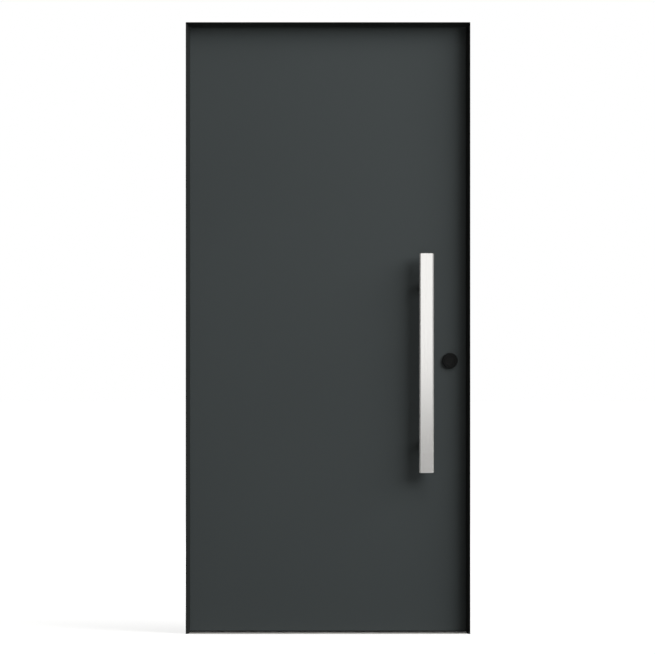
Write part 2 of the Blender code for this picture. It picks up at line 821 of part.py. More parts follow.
def hinge_strap():
    """Plan of the leaf half's strap, which lies on the inner panel and cranks up to the barrel."""
    seat_y = LEAF_BACK_Y + FIT - HINGE_Y
    top_y = seat_y + WING_THICKNESS
    crank = BARREL_RADIUS - BARREL_CHAMFER / 2
    return [
        (WING_THICKNESS / 2, seat_y),
        (LEAF_STRAP_LENGTH, seat_y),
        (LEAF_STRAP_LENGTH, top_y),
        (BARREL_RADIUS + WING_THICKNESS, top_y),
        (crank, top_y + WING_THICKNESS),
        (crank, 0.0),
        (-WING_THICKNESS, 0.0),
        (-WING_THICKNESS, -BARREL_RADIUS / 2),
    ]


def build_hinges(materials, axis):
    """Lift-off hinges: the frame half carries the pin, the leaf half turns on it."""
    ring = THRUST_RING_HEIGHT / 2
    seat = ring + FIT
    shoulder = HINGE_HALF - BARREL_CHAMFER
    frame_profile = [
        (0.0, -HINGE_HALF),
        (BARREL_RADIUS - BARREL_CHAMFER, -HINGE_HALF),
        (BARREL_RADIUS, -shoulder),
        (BARREL_RADIUS, -ring),
        (THRUST_RING_RADIUS, -ring),
        (THRUST_RING_RADIUS, ring),
        (PIN_RADIUS, ring),
        (PIN_RADIUS, PIN_LENGTH - PIN_CHAMFER),
        (PIN_RADIUS - PIN_CHAMFER, PIN_LENGTH),
        (0.0, PIN_LENGTH),
    ]
    leaf_profile = [
        (0.0, seat),
        (BARREL_RADIUS, seat),
        (BARREL_RADIUS, shoulder),
        (BARREL_RADIUS - BARREL_CHAMFER, HINGE_HALF),
        (0.0, HINGE_HALF),
    ]
    bore_radius = PIN_RADIUS + FIT
    bore_stations = ((bore_radius, 0.0), (bore_radius, PIN_LENGTH + PIN_END_ROOM))
    unturned = (0.0, 0.0, 0.0)
    for name, height in HINGE_HEIGHTS.items():
        place = Vector((HINGE_X, HINGE_Y, height))
        frame_half = add_turned(
            "hinge_frame_half_" + name, frame_profile, materials["edge"], place, unturned
        )
        wing = add_prism("frame_wing_" + name, hinge_wing(), -shoulder, -ring, None, place)
        combine(frame_half, wing, "UNION")
        leaf_half = add_turned(
            "hinge_leaf_half_" + name, leaf_profile, materials["edge"], place, unturned, axis
        )
        strap = add_prism("leaf_strap_" + name, hinge_strap(), seat, shoulder, None, place, axis)
        combine(leaf_half, strap, "UNION")
        bore = add_rods(
            "pin_bore_" + name, [place], bore_stations, (0, 0, 1), axis, ROUND_SEGMENTS
        )
        combine(leaf_half, bore, "DIFFERENCE")


def build_pull_bar(materials, axis):
    """Flat bar with chamfered front edges, carried by two round posts behind it."""
    back_y = LEAF_FRONT_Y - PULL_STANDOFF
    add_block(
        "pull_bar",
        (PULL_X - PULL_WIDTH / 2, back_y - PULL_THICKNESS, PULL_BOTTOM),
        (PULL_X + PULL_WIDTH / 2, back_y, PULL_BOTTOM + PULL_LENGTH),
        materials["steel"],
        axis,
        PULL_CHAMFER,
        (0, -1, 0),
    )
    profile = [
        (0.0, FIT),
        (POST_FOOT_RADIUS, FIT),
        (POST_FOOT_RADIUS, POST_FOOT_HEIGHT),
        (POST_RADIUS, POST_FOOT_HEIGHT),
        (POST_RADIUS, PULL_STANDOFF - FIT),
        (0.0, PULL_STANDOFF - FIT),
    ]
    heights = {
        "lower": PULL_BOTTOM + POST_INSET,
        "upper": PULL_BOTTOM + PULL_LENGTH - POST_INSET,
    }
    for name, height in heights.items():
        place = Vector((PULL_X, LEAF_FRONT_Y, height))
        add_turned("pull_post_" + name, profile, materials["steel"], place, TO_OUTSIDE, axis)


def build_cylinder_guard(materials, axis):
    """Black ring round the lock cylinder, and the cover disc that shuts its keyway."""
    place = Vector((LOCK_X, LEAF_FRONT_Y, CYLINDER_HEIGHT))
    bore = COVER_RADIUS + FIT
    ring_profile = [(bore, FIT), (GUARD_RADIUS, FIT)]
    ring_profile += quarter_round(GUARD_RADIUS, GUARD_HEIGHT, GUARD_ROUNDING)
    ring_profile.append((bore, GUARD_HEIGHT))
    add_turned("cylinder_guard", ring_profile, materials["black"], place, TO_OUTSIDE, axis)
    cover_height = GUARD_HEIGHT + COVER_RISE
    cover_profile = [(0.0, FIT), (COVER_RADIUS, FIT)]
    cover_profile += quarter_round(COVER_RADIUS, cover_height, COVER_RISE)
    cover_profile.append((0.0, cover_height))
    add_turned("cylinder_cover", cover_profile, materials["black"], place, TO_OUTSIDE, axis)


def build_rose(name, height, hole_radius, materials, axis):
    place = Vector((LOCK_X, LEAF_BACK_Y, height))
    bore = hole_radius + FIT
    profile = [(bore, FIT), (ROSE_RADIUS, FIT)]
    profile += quarter_round(ROSE_RADIUS, ROSE_HEIGHT, ROSE_ROUNDING)
    profile.append((bore, ROSE_HEIGHT))
    add_turned(name, profile, materials["steel"], place, TO_INSIDE, axis)


def build_lever(materials, axis):
    """Lever handle: a round neck that bends over into a flattened grip."""
    up = Vector((0.0, 0.0, 1.0))
    out = Vector((0.0, 1.0, 0.0))
    bend_centre = Vector((-LEVER_BEND, NECK_LENGTH - LEVER_BEND, 0.0))
    shapes = [
        (out * reach, Vector((NECK_RADIUS, 0.0, 0.0)), up * NECK_RADIUS)
        for reach in (FIT, NECK_LENGTH - LEVER_BEND)
    ]
    for index in range(1, LEVER_BEND_STEPS + 1):
        share = index / LEVER_BEND_STEPS
        angle = math.radians(90) * share
        outwards = Vector((math.cos(angle), math.sin(angle), 0.0))
        depth = NECK_RADIUS + (LEVER_HALF_DEPTH - NECK_RADIUS) * share
        height = NECK_RADIUS + (LEVER_HALF_HEIGHT - NECK_RADIUS) * share
        shapes.append((bend_centre + outwards * LEVER_BEND, outwards * depth, up * height))
    for index in range(LEVER_TIP_STEPS):
        angle = math.radians(80) * index / (LEVER_TIP_STEPS - 1)
        scale = math.cos(angle)
        x = -LEVER_LENGTH + LEVER_HALF_DEPTH * (1 - math.sin(angle))
        centre = Vector((x, NECK_LENGTH, 0.0))
        height = LEVER_HALF_HEIGHT - LEVER_HALF_DEPTH * (1 - scale)
        shapes.append((centre, out * LEVER_HALF_DEPTH * scale, up * height))
    bm = bmesh.new()
    skin_rings(bm, [ellipse_ring(bm, *shape, SMALL_SEGMENTS) for shape in shapes])
    place = Vector((LOCK_X, LEAF_BACK_Y, LEVER_HEIGHT))
    smooth(add_object("inner_lever", bm, materials["steel"], place, parent=axis))


def build_thumb_turn(materials, axis):
    """Thumb turn: a round stem that opens into a flat grip."""
    stations = (
        (FIT, TURN_STEM_RADIUS, TURN_STEM_RADIUS),
        (ROSE_HEIGHT + ROSE_ROUNDING, TURN_STEM_RADIUS, TURN_STEM_RADIUS),
        (TURN_SHOULDER, TURN_HALF_WIDTH, TURN_HALF_HEIGHT - TURN_ROUNDING),
        (TURN_LENGTH - TURN_ROUNDING, TURN_HALF_WIDTH, TURN_HALF_HEIGHT),
        (TURN_LENGTH, TURN_HALF_WIDTH - TURN_ROUNDING, TURN_HALF_HEIGHT - TURN_ROUNDING),
    )
    bm = bmesh.new()
    rings = []
    for reach, half_width, half_height in stations:
        centre = Vector((0.0, reach, 0.0))
        across = Vector((half_width, 0.0, 0.0))
        along = Vector((0.0, 0.0, half_height))
        rings.append(ellipse_ring(bm, centre, across, along, SMALL_SEGMENTS))
    skin_rings(bm, rings)
    place = Vector((LOCK_X, LEAF_BACK_Y, CYLINDER_HEIGHT))
    smooth(add_object("thumb_turn", bm, materials["steel"], place, parent=axis))


def build_leaf(materials):
    axis = add_axis("leaf_swing_axis", Vector((HINGE_X, HINGE_Y, 0.0)))
    core, edges = build_leaf_shell(materials, axis)
    build_drop_seal(materials, axis, core, edges["bottom"])
    build_lock(materials, axis, core, edges["lock"])
    build_dog_bolts(materials, axis, core, edges["hinge"])
    build_hinges(materials, axis)
    build_pull_bar(materials, axis)
    build_cylinder_guard(materials, axis)
    build_rose("lever_rose", LEVER_HEIGHT, NECK_RADIUS, materials, axis)
    build_rose("cylinder_rose", CYLINDER_HEIGHT, TURN_STEM_RADIUS, materials, axis)
    build_lever(materials, axis)
    build_thumb_turn(materials, axis)


def main():
    clear_scene()
    materials = make_materials()
    build_frame(materials)
    build_strikes(materials)
    build_seals(materials)
    build_threshold(materials)
    build_leaf(materials)


main()
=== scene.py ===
import json
import math

import bmesh
import bpy
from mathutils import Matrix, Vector


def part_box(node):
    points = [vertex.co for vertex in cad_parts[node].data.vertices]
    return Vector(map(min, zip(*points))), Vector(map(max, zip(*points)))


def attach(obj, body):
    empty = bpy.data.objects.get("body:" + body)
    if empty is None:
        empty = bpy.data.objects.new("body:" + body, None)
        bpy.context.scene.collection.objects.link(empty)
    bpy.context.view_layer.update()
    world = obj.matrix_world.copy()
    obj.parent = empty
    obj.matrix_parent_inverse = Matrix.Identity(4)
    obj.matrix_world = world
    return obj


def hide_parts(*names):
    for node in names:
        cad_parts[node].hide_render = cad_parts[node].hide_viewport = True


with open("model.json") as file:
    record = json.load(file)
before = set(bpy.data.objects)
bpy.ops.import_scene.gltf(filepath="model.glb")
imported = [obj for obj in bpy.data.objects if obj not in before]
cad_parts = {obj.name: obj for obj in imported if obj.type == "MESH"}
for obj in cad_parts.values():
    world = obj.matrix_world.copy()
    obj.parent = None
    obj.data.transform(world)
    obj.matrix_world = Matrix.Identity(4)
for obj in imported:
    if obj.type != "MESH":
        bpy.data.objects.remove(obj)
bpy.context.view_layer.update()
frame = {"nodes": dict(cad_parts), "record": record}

# Security door, dressed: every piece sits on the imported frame, metres, outside towards -Y
nodes = frame["nodes"]
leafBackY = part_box("inner_panel")[1].y
print("frame loaded:", len(nodes), "nodes")


# Shader helpers

def addNode(tree, kind, **settings):
    node = tree.nodes.new(kind)
    for key, value in settings.items():
        setattr(node, key, value)
    return node


def setNode(tree, node, inputs):
    # link each input to a socket, or set it to a value
    for name, value in inputs.items():
        if isinstance(value, bpy.types.NodeSocket):
            tree.links.new(value, node.inputs[name])
        else:
            node.inputs[name].default_value = value
    return node


def piped(tree, kind, output, inputs, **settings):
    # a node with its inputs set, handed on as one of its outputs
    return setNode(tree, addNode(tree, kind, **settings), inputs).outputs[output]


def newGroup(name, inputs, outputs):
    group = bpy.data.node_groups.new(name, "ShaderNodeTree")
    for socketName, kind, value in inputs:
        socket = group.interface.new_socket(name=socketName, in_out="INPUT", socket_type=kind)
        if value is not None:
            socket.default_value = value
    for socketName, kind in outputs:
        group.interface.new_socket(name=socketName, in_out="OUTPUT", socket_type=kind)
    start = addNode(group, "NodeGroupInput")
    end = addNode(group, "NodeGroupOutput")
    return group, start, end


def stretched(tree, vector, stretch):
    # vector times a stretch per axis, for streaks and lines
    return piped(tree, "ShaderNodeVectorMath", 0, {0: vector, 1: stretch}, operation="MULTIPLY")


def noise(tree, vector, scale, detail=2.0, rough=0.5):
    return piped(tree, "ShaderNodeTexNoise", "Fac",
                 {"Vector": vector, "Scale": scale, "Detail": detail, "Roughness": rough})


def mapRange(tree, value, low, high, toLow=0.0, toHigh=1.0):
    return piped(tree, "ShaderNodeMapRange", "Result",
                 {"Value": value, "From Min": low, "From Max": high, "To Min": toLow, "To Max": toHigh})


def mathNode(tree, operation, first, second):
    return piped(tree, "ShaderNodeMath", 0, {0: first, 1: second}, operation=operation)


def cells(tree, vector, scale, output):
    return piped(tree, "ShaderNodeTexVoronoi", output, {"Vector": vector, "Scale": scale}, feature="F1")


# Effects that several finishes share

effectLook = {
    "specks": 420.0, "speckReach": 0.12, "cloudSpan": (0.3, 0.7),
    "hairlines": 1900.0, "streaks": 260.0, "streakSpan": (0.32, 0.68),
    "scratchTurns": (0.5, 1.9), "scratchTilt": (0.6, 1.0, 1.3), "scratchStretch": (1.0, 0.05, 0.2),
    "scratches": 520.0, "scratchSpan": (0.66, 0.74), "patches": 26.0, "patchSpan": (0.45, 0.65),
    "latheMarks": (5200.0, 900.0), "ringSpan": (0.35, 0.65),
}


def makeCoatGrain():
    # powder coat: fine pebbles, a slow cloud for thickness, and small specks
    group, start, end = newGroup(
        "coatGrain",
        [("Vector", "NodeSocketVector", None), ("Pebble Scale", "NodeSocketFloat", 700.0),
         ("Cloud Scale", "NodeSocketFloat", 2.2)],
        [("Height", "NodeSocketFloat"), ("Cloud", "NodeSocketFloat"), ("Speck", "NodeSocketFloat")],
    )
    vector = start.outputs["Vector"]
    pebbles = noise(group, vector, start.outputs["Pebble Scale"], detail=3.0, rough=0.55)
    cloud = noise(group, vector, start.outputs["Cloud Scale"], rough=0.4)
    near = cells(group, vector, effectLook["specks"], "Distance")
    group.links.new(pebbles, end.inputs["Height"])
    group.links.new(mapRange(group, cloud, *effectLook["cloudSpan"]), end.inputs["Cloud"])
    speck = mapRange(group, near, 0.0, effectLook["speckReach"], toLow=1.0, toHigh=0.0)
    group.links.new(speck, end.inputs["Speck"])
    return group


def makeBrushLines():
    # long hairlines: a coarse and a fine streak, both pulled out by the stretch
    group, start, end = newGroup(
        "brushLines",
        [("Vector", "NodeSocketVector", None), ("Stretch", "NodeSocketVector", (1.0, 1.0, 0.02))],
        [("Height", "NodeSocketFloat"), ("Streak", "NodeSocketFloat")],
    )
    pulled = stretched(group, start.outputs["Vector"], start.outputs["Stretch"])
    fine = noise(group, pulled, effectLook["hairlines"], rough=0.6)
    coarse = noise(group, pulled, effectLook["streaks"], detail=3.0)
    group.links.new(fine, end.inputs["Height"])
    group.links.new(mapRange(group, coarse, *effectLook["streakSpan"]), end.inputs["Streak"])
    return group


def makeScuffs():
    # short thin scratches in two directions, thinned out by patches
    group, start, end = newGroup(
        "scuffs",
        [("Vector", "NodeSocketVector", None), ("Amount", "NodeSocketFloat", 0.5)],
        [("Mask", "NodeSocketFloat")],
    )
    masks = []
    for turn in effectLook["scratchTurns"]:
        spun = piped(group, "ShaderNodeMapping", 0, {
            "Vector": start.outputs["Vector"],
            "Rotation": tuple(turn * share for share in effectLook["scratchTilt"])})
        pulled = stretched(group, spun, effectLook["scratchStretch"])
        lines = noise(group, pulled, effectLook["scratches"], rough=0.6)
        masks.append(mapRange(group, lines, *effectLook["scratchSpan"]))
    patches = noise(group, start.outputs["Vector"], effectLook["patches"])
    patches = mapRange(group, patches, *effectLook["patchSpan"])
    worn = mathNode(group, "MULTIPLY", mathNode(group, "MAXIMUM", *masks), patches)
    group.links.new(mathNode(group, "MULTIPLY", worn, start.outputs["Amount"]), end.inputs["Mask"])
    return group


def makeTurnedRings():
    # lathe marks: rings from the piece's own distance to its axis
    group, start, end = newGroup(
        "turnedRings",
        [("Radius", "NodeSocketFloat", 0.0)],
        [("Height", "NodeSocketFloat"), ("Ring", "NodeSocketFloat")],
    )
    fine, coarse = (piped(group, "ShaderNodeTexNoise", "Fac", {
        "W": start.outputs["Radius"], "Scale": scale, "Detail": 2.0, "Roughness": 0.6},
        noise_dimensions="1D") for scale in effectLook["latheMarks"])
    group.links.new(fine, end.inputs["Height"])
    group.links.new(mapRange(group, coarse, *effectLook["ringSpan"]), end.inputs["Ring"])
    return group


effects = {
    "coat": makeCoatGrain(),
    "brush": makeBrushLines(),
    "scuff": makeScuffs(),
    "rings": makeTurnedRings(),
}
print("shader groups built:", len(effects))


# Finishes

def startMaterial(name, roughness, metallic=0.0, specular=0.5):
    material = bpy.data.materials.new(name)
    material.use_nodes = True
    tree = material.node_tree
    shader = setNode(tree, tree.nodes["Principled BSDF"], {
        "Roughness": roughness, "Metallic": metallic, "Specular IOR Level": specular})
    where = addNode(tree, "ShaderNodeTexCoord").outputs["Object"]
    return material, tree, shader, where


def addGroup(tree, name, inputs):
    return setNode(tree, addNode(tree, "ShaderNodeGroup", node_tree=effects[name]), inputs).outputs


def mixColours(tree, factor, first, second):
    # each colour is a tuple or a socket
    first, second = ((*colour, 1.0) if isinstance(colour, tuple) else colour
                     for colour in (first, second))
    return piped(tree, "ShaderNodeMix", 2, {0: factor, 6: first, 7: second}, data_type="RGBA")


def shade(colour, factor):
    return tuple(channel * factor for channel in colour)


def varied(tree, factor, look):
    # the finish's colour, from a little darker to a little lighter
    return mixColours(tree, factor, shade(look["colour"], 1 - look["vary"]),
                      shade(look["colour"], 1 + look["vary"]))


def roughSpan(tree, factor, look, less, more):
    return mapRange(tree, factor, 0.0, 1.0, look["rough"] - less, look["rough"] + more)


def dress(tree, shader, look, colour, height, rough=None):
    # colour, bump and, where it varies, roughness of one finish
    bump = piped(tree, "ShaderNodeBump", "Normal",
                 {"Distance": look["relief"], "Strength": 1.0, "Height": height})
    setNode(tree, shader, {"Base Color": colour, "Normal": bump,
                           "Roughness": look["rough"] if rough is None else rough})


def coatMaterial(name, look):
    speckShare, speckTone = 0.16, 1.9
    material, tree, shader, where = startMaterial(name, look["rough"], specular=look["specular"])
    grain = addGroup(tree, "coat", {
        "Vector": where, "Pebble Scale": look["pebbles"], "Cloud Scale": look["clouds"]})
    cloudy = varied(tree, grain["Cloud"], look)
    specks = mathNode(tree, "MULTIPLY", grain["Speck"], speckShare)
    speckled = mixColours(tree, specks, cloudy, shade(look["colour"], speckTone))
    rough = roughSpan(tree, grain["Cloud"], look, less=0.03, more=0.04)
    dress(tree, shader, look, speckled, grain["Height"], rough)
    return material


def brushedMaterial(name, look):
    scuffRough = 0.1
    material, tree, shader, where = startMaterial(name, look["rough"], look["metal"])
    lines = addGroup(tree, "brush", {"Vector": where, "Stretch": look["stretch"]})
    scuffs = addGroup(tree, "scuff", {"Vector": where, "Amount": look["wear"]})["Mask"]
    streaked = varied(tree, lines["Streak"], look)
    worn = mixColours(tree, scuffs, streaked, shade(look["colour"], look["scratch"]))
    rough = roughSpan(tree, lines["Streak"], look, look["roughVary"], look["roughVary"])
    rough = mathNode(tree, "ADD", rough, mathNode(tree, "MULTIPLY", scuffs, scuffRough))
    dress(tree, shader, look, worn, lines["Height"], rough)
    return material


def turnedMaterial(name, look):
    share = look["ringShare"]
    material, tree, shader, where = startMaterial(name, look["rough"], look["metal"], look["specular"])
    radius = addNode(tree, "ShaderNodeAttribute", attribute_name="turnRadius").outputs["Fac"]
    rings = addGroup(tree, "rings", {"Radius": radius})
    grain = addGroup(tree, "coat", {"Vector": where, "Pebble Scale": 1400.0, "Cloud Scale": 60.0})
    ringed = varied(tree, rings["Ring"], look)
    rough = roughSpan(tree, rings["Ring"], look, less=0.04, more=0.05)
    mixed = mathNode(tree, "ADD", mathNode(tree, "MULTIPLY", rings["Height"], share),
                     mathNode(tree, "MULTIPLY", grain["Height"], 1 - share))
    dress(tree, shader, look, ringed, mixed, rough)
    return material


def zincMaterial(name, look):
    material, tree, shader, where = startMaterial(name, look["rough"], metallic=1.0)
    flakes = cells(tree, where, look["flakes"], "Color")
    tone = piped(tree, "ShaderNodeSeparateColor", 0, {"Color": flakes})
    scuffs = addGroup(tree, "scuff", {"Vector": where, "Amount": look["wear"]})["Mask"]
    spangled = mixColours(tree, tone, shade(look["colour"], look["dark"]),
                          shade(look["colour"], look["light"]))
    worn = mixColours(tree, scuffs, spangled, shade(look["colour"], look["scratch"]))
    rough = roughSpan(tree, tone, look, less=0.06, more=0.06)
    dress(tree, shader, look, worn, noise(tree, where, look["pits"], detail=3.0), rough)
    return material


def rubberMaterial(name, look):
    material, tree, shader, where = startMaterial(name, look["rough"], specular=0.3)
    lines = addGroup(tree, "brush", {"Vector": where, "Stretch": look["stretch"]})
    powder = mapRange(tree, noise(tree, where, look["powder"], detail=3.0), low=0.4, high=0.7)
    dusty = mixColours(tree, powder, look["colour"], shade(look["colour"], look["dust"]))
    rough = roughSpan(tree, powder, look, less=0.05, more=0.08)
    dress(tree, shader, look, dusty, lines["Height"], rough)
    return material


def coreMaterial(name, look):
    material, tree, shader, where = startMaterial(name, look["rough"], specular=0.2)
    pulled = stretched(tree, where, look["stretch"])
    fibres = noise(tree, pulled, look["fibres"], detail=5.0, rough=0.65)
    tone = varied(tree, mapRange(tree, fibres, low=0.35, high=0.65), look)
    dress(tree, shader, look, tone, fibres)
    return material


finishLooks = {
    "leafCoat": (coatMaterial, {
        "colour": (0.0470, 0.0541, 0.0554), "rough": 0.50, "specular": 0.10, "vary": 0.025,
        "pebbles": 760.0, "clouds": 1.7, "relief": 0.00005}),
    "frameCoat": (coatMaterial, {
        "colour": (0.0133, 0.0143, 0.0138), "rough": 0.48, "specular": 0.10, "vary": 0.04,
        "pebbles": 640.0, "clouds": 3.0, "relief": 0.00006}),
    "edgeCoat": (coatMaterial, {
        "colour": (0.033, 0.037, 0.038), "rough": 0.44, "specular": 0.35, "vary": 0.04,
        "pebbles": 640.0, "clouds": 4.0, "relief": 0.00006}),
    "hingeCoat": (coatMaterial, {
        "colour": (0.030, 0.034, 0.035), "rough": 0.40, "specular": 0.40, "vary": 0.05,
        "pebbles": 900.0, "clouds": 9.0, "relief": 0.00005}),
    "barSteel": (brushedMaterial, {
        "colour": (0.650, 0.641, 0.626), "rough": 0.26, "roughVary": 0.015, "metal": 1.0, "vary": 0.010,
        "stretch": (1.0, 1.0, 0.012), "relief": 0.000002, "wear": 0.10, "scratch": 1.03}),
    "satinSteel": (brushedMaterial, {
        "colour": (0.690, 0.682, 0.665), "rough": 0.27, "roughVary": 0.04, "metal": 1.0, "vary": 0.03,
        "stretch": (0.03, 1.0, 1.0), "relief": 0.000004, "wear": 0.4, "scratch": 1.05}),
    "boltSteel": (brushedMaterial, {
        "colour": (0.610, 0.608, 0.600), "rough": 0.30, "roughVary": 0.05, "metal": 1.0, "vary": 0.05,
        "stretch": (0.05, 1.0, 1.0), "relief": 0.000006, "wear": 0.9, "scratch": 0.75}),
    "sillMetal": (brushedMaterial, {
        "colour": (0.640, 0.625, 0.600), "rough": 0.42, "roughVary": 0.05, "metal": 0.75, "vary": 0.04,
        "stretch": (0.01, 1.0, 1.0), "relief": 0.00001, "wear": 1.0, "scratch": 0.82}),
    "turnedSteel": (turnedMaterial, {
        "colour": (0.690, 0.682, 0.665), "rough": 0.26, "metal": 1.0, "specular": 0.5, "vary": 0.03,
        "ringShare": 0.8, "relief": 0.000008}),
    "blackFitting": (turnedMaterial, {
        "colour": (0.0068, 0.0072, 0.0071), "rough": 0.42, "metal": 0.0, "specular": 0.07, "vary": 0.12,
        "ringShare": 0.15, "relief": 0.00002}),
    "screwSteel": (brushedMaterial, {
        "colour": (0.600, 0.600, 0.590), "rough": 0.28, "roughVary": 0.05, "metal": 1.0, "vary": 0.05,
        "stretch": (1.0, 1.0, 1.0), "relief": 0.000005, "wear": 0.8, "scratch": 0.8}),
    "zincPlate": (zincMaterial, {
        "colour": (0.585, 0.590, 0.595), "rough": 0.36, "wear": 0.8, "scratch": 0.7, "relief": 0.00001,
        "flakes": 260.0, "dark": 0.93, "light": 1.06, "pits": 900.0}),
    "sealRubber": (rubberMaterial, {
        "colour": (0.0105, 0.0108, 0.0108), "rough": 0.62, "stretch": (1.0, 1.0, 0.01),
        "relief": 0.00003, "powder": 40.0, "dust": 1.6}),
    "coreFill": (coreMaterial, {
        "colour": (0.32, 0.28, 0.20), "rough": 0.95, "vary": 0.2, "stretch": (1.0, 6.0, 1.0),
        "fibres": 160.0, "relief": 0.0004}),
}
finishes = {name: make(name, look) for name, (make, look) in finishLooks.items()}
print("finishes made:", len(finishes))


# Mesh helpers

bodyOf = {node: body for body, group in frame["record"]["behaviour"]["bodies"].items() for node in group}
tiny = 1e-7
cadWeld = 1e-5
flatAngle = math.radians(0.4)


def addObject(name, data):
    thing = bpy.data.objects.new(name, data)
    bpy.context.scene.collection.objects.link(thing)
    return thing


def finishPiece(name, bm, finish, standsFor, angle=35, bevel=None):
    # a finished mesh that takes over CAD nodes and rides with their body
    bm.normal_update()
    mesh = bpy.data.meshes.new(name)
    bm.to_mesh(mesh)
    bm.free()
    mesh.materials.append(finishes[finish])
    mesh.shade_smooth()
    piece = addObject(name, mesh)
    if bevel:
        edge = piece.modifiers.new("softEdges", "BEVEL")
        edge.limit_method = "ANGLE"
        edge.angle_limit = math.radians(bevel["angle"])
        edge.width = bevel["width"]
        edge.segments = bevel["steps"]
        edge.use_clamp_overlap = True
    else:
        mesh.set_sharp_from_angle(angle=math.radians(angle))
    # large faces lead the shading, so that flats stay flat beside a soft edge
    flats = piece.modifiers.new("flatFaces", "WEIGHTED_NORMAL")
    flats.mode = "FACE_AREA"
    flats.weight = 90
    flats.keep_sharp = True
    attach(piece, bodyOf[standsFor[0]])
    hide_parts(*standsFor)


def cadCopy(node):
    # a CAD node comes as loose triangles: merge them and take out the flat ones' edges
    bm = bmesh.new()
    bm.from_mesh(nodes[node].data)
    bmesh.ops.remove_doubles(bm, verts=bm.verts, dist=cadWeld)
    bmesh.ops.dissolve_limit(bm, angle_limit=flatAngle, verts=bm.verts, edges=bm.edges)
    return bm


def softened(name, node, finish, width, steps=2, angle=25):
    finishPiece(name, cadCopy(node), finish, [node],
                bevel={"width": width, "steps": steps, "angle": angle})


def arcCorner(before, corner, after, radius, steps):
    # points of an arc that rounds one corner of a flat outline
    corner = Vector(corner)
    toBefore = (Vector(before) - corner).normalized()
    toAfter = (Vector(after) - corner).normalized()
    half = toBefore.angle(toAfter) / 2
    reach = radius / math.tan(half)
    middle = corner + (toBefore + toAfter).normalized() * (radius / math.sin(half))
    start = corner + toBefore * reach - middle
    end = corner + toAfter * reach - middle
    sweep = start.angle(end)
    points = []
    for index in range(steps + 1):
        share = index / steps
        direction = start * math.sin((1 - share) * sweep) + end * math.sin(share * sweep)
        points.append(tuple(middle + direction / math.sin(sweep)))
    return points


def roundedOutline(points, radii, steps=4):
    # a radius of nought leaves its corner sharp
    result = []
    for index, (point, radius) in enumerate(zip(points, radii)):
        if radius:
            after = points[(index + 1) % len(points)]
            result += arcCorner(points[index - 1], point, after, radius, steps)
        else:
            result.append(tuple(point))
    return result


def outwards(bm):
    # weld what coincides and turn every face outwards
    bmesh.ops.remove_doubles(bm, verts=bm.verts, dist=tiny)
    bmesh.ops.recalc_face_normals(bm, faces=bm.faces)
    return bm


def turnedMesh(outline, centre, axis, segments=72):
    # spin (radius, height) points round an axis; the distance to the axis is kept for the lathe marks
    bm = bmesh.new()
    axis = Vector(axis)
    side = axis.orthogonal().normalized()
    front = axis.cross(side)
    layer = bm.verts.layers.float.new("turnRadius")
    rings = []
    for radius, height in outline:
        middle = Vector(centre) + axis * height
        if radius < tiny:
            ring = [bm.verts.new(middle)]
        else:
            angles = [math.tau * index / segments for index in range(segments)]
            ring = [bm.verts.new(middle + (side * math.cos(a) + front * math.sin(a)) * radius)
                    for a in angles]
        for vert in ring:
            vert[layer] = radius
        rings.append(ring)
    closed = outline[0][0] > tiny
    pairs = list(zip(rings, rings[1:])) + ([(rings[-1], rings[0])] if closed else [])
    for lower, upper in pairs:
        for index in range(segments):
            after = (index + 1) % segments
            corners = [lower[index % len(lower)], lower[after % len(lower)],
                       upper[after % len(upper)], upper[index % len(upper)]]
            unique = list(dict.fromkeys(corners))
            if len(unique) > 2:
                bm.faces.new(unique)
    return outwards(bm)


def extrudedMesh(outline, origin, across, up, reach):
    # a flat outline in the plane of across and up, pushed along reach
    across, up, origin = Vector(across), Vector(up), Vector(origin)
    low = [origin + across * a + up * b for a, b in outline]
    return loftMesh([low, [point + Vector(reach) for point in low]])


def loftMesh(rings):
    # rings of equal length, closed with flat ends
    bm = bmesh.new()
    made = [[bm.verts.new(point) for point in ring] for ring in rings]
    count = len(made[0])
    for lower, upper in zip(made, made[1:]):
        for index in range(count):
            after = (index + 1) % count
            bm.faces.new((lower[index], lower[after], upper[after], upper[index]))
    bm.faces.new(made[0])
    bm.faces.new(made[-1])
    return outwards(bm)


roundPower = 2.0


def superRing(centre, across, up, power=roundPower, count=40):
    # an oval with squarer shoulders as the power grows
    points = []
    for index in range(count):
        angle = math.tau * index / count
        c, s = math.cos(angle), math.sin(angle)
        a = math.copysign(abs(c) ** (2 / power), c)
        b = math.copysign(abs(s) ** (2 / power), s)
        points.append(Vector(centre) + Vector(across) * a + Vector(up) * b)
    return points


# Frame, seals and threshold

frameEdge = {"sheet": 0.0003, "stop": 0.0006, "seal": 0.0006, "sill": 0.0004}

for node in ("hinge_jamb", "lock_jamb", "frame_head"):
    softened(node + "Sheet", node, "frameCoat", frameEdge["sheet"])
for node in ("hinge_stop", "lock_stop", "head_stop"):
    softened(node + "Bar", node, "frameCoat", frameEdge["stop"], steps=3, angle=14)
for node in ("seal_hinge_side", "seal_lock_side", "seal_head"):
    softened(node + "Strip", node, "sealRubber", frameEdge["seal"], steps=3)
softened("thresholdStrip", "threshold", "sillMetal", frameEdge["sill"])
print("frame, seals and threshold made")


# Leaf skins, rim and drop seal

leafEdge = {"panel": 0.0006, "rim": 0.0004, "plate": 0.00025, "bolt": 0.0008, "latch": 0.0012}

softened("outerFace", "outer_panel", "leafCoat", leafEdge["panel"], steps=3)
softened("innerFace", "inner_panel", "leafCoat", leafEdge["panel"], steps=3)
for side in ("hinge", "lock", "top", "bottom"):
    softened(side + "Rim", "leaf_edge_" + side, "edgeCoat", leafEdge["rim"])
nodes["leaf_core"].data.materials.clear()
nodes["leaf_core"].data.materials.append(finishes["coreFill"])
softened("dropSealRail", "drop_seal_channel", "sillMetal", leafEdge["plate"])
print("leaf made")


# Lock edge: faceplate, bolts, latch, strikes, dog bolts

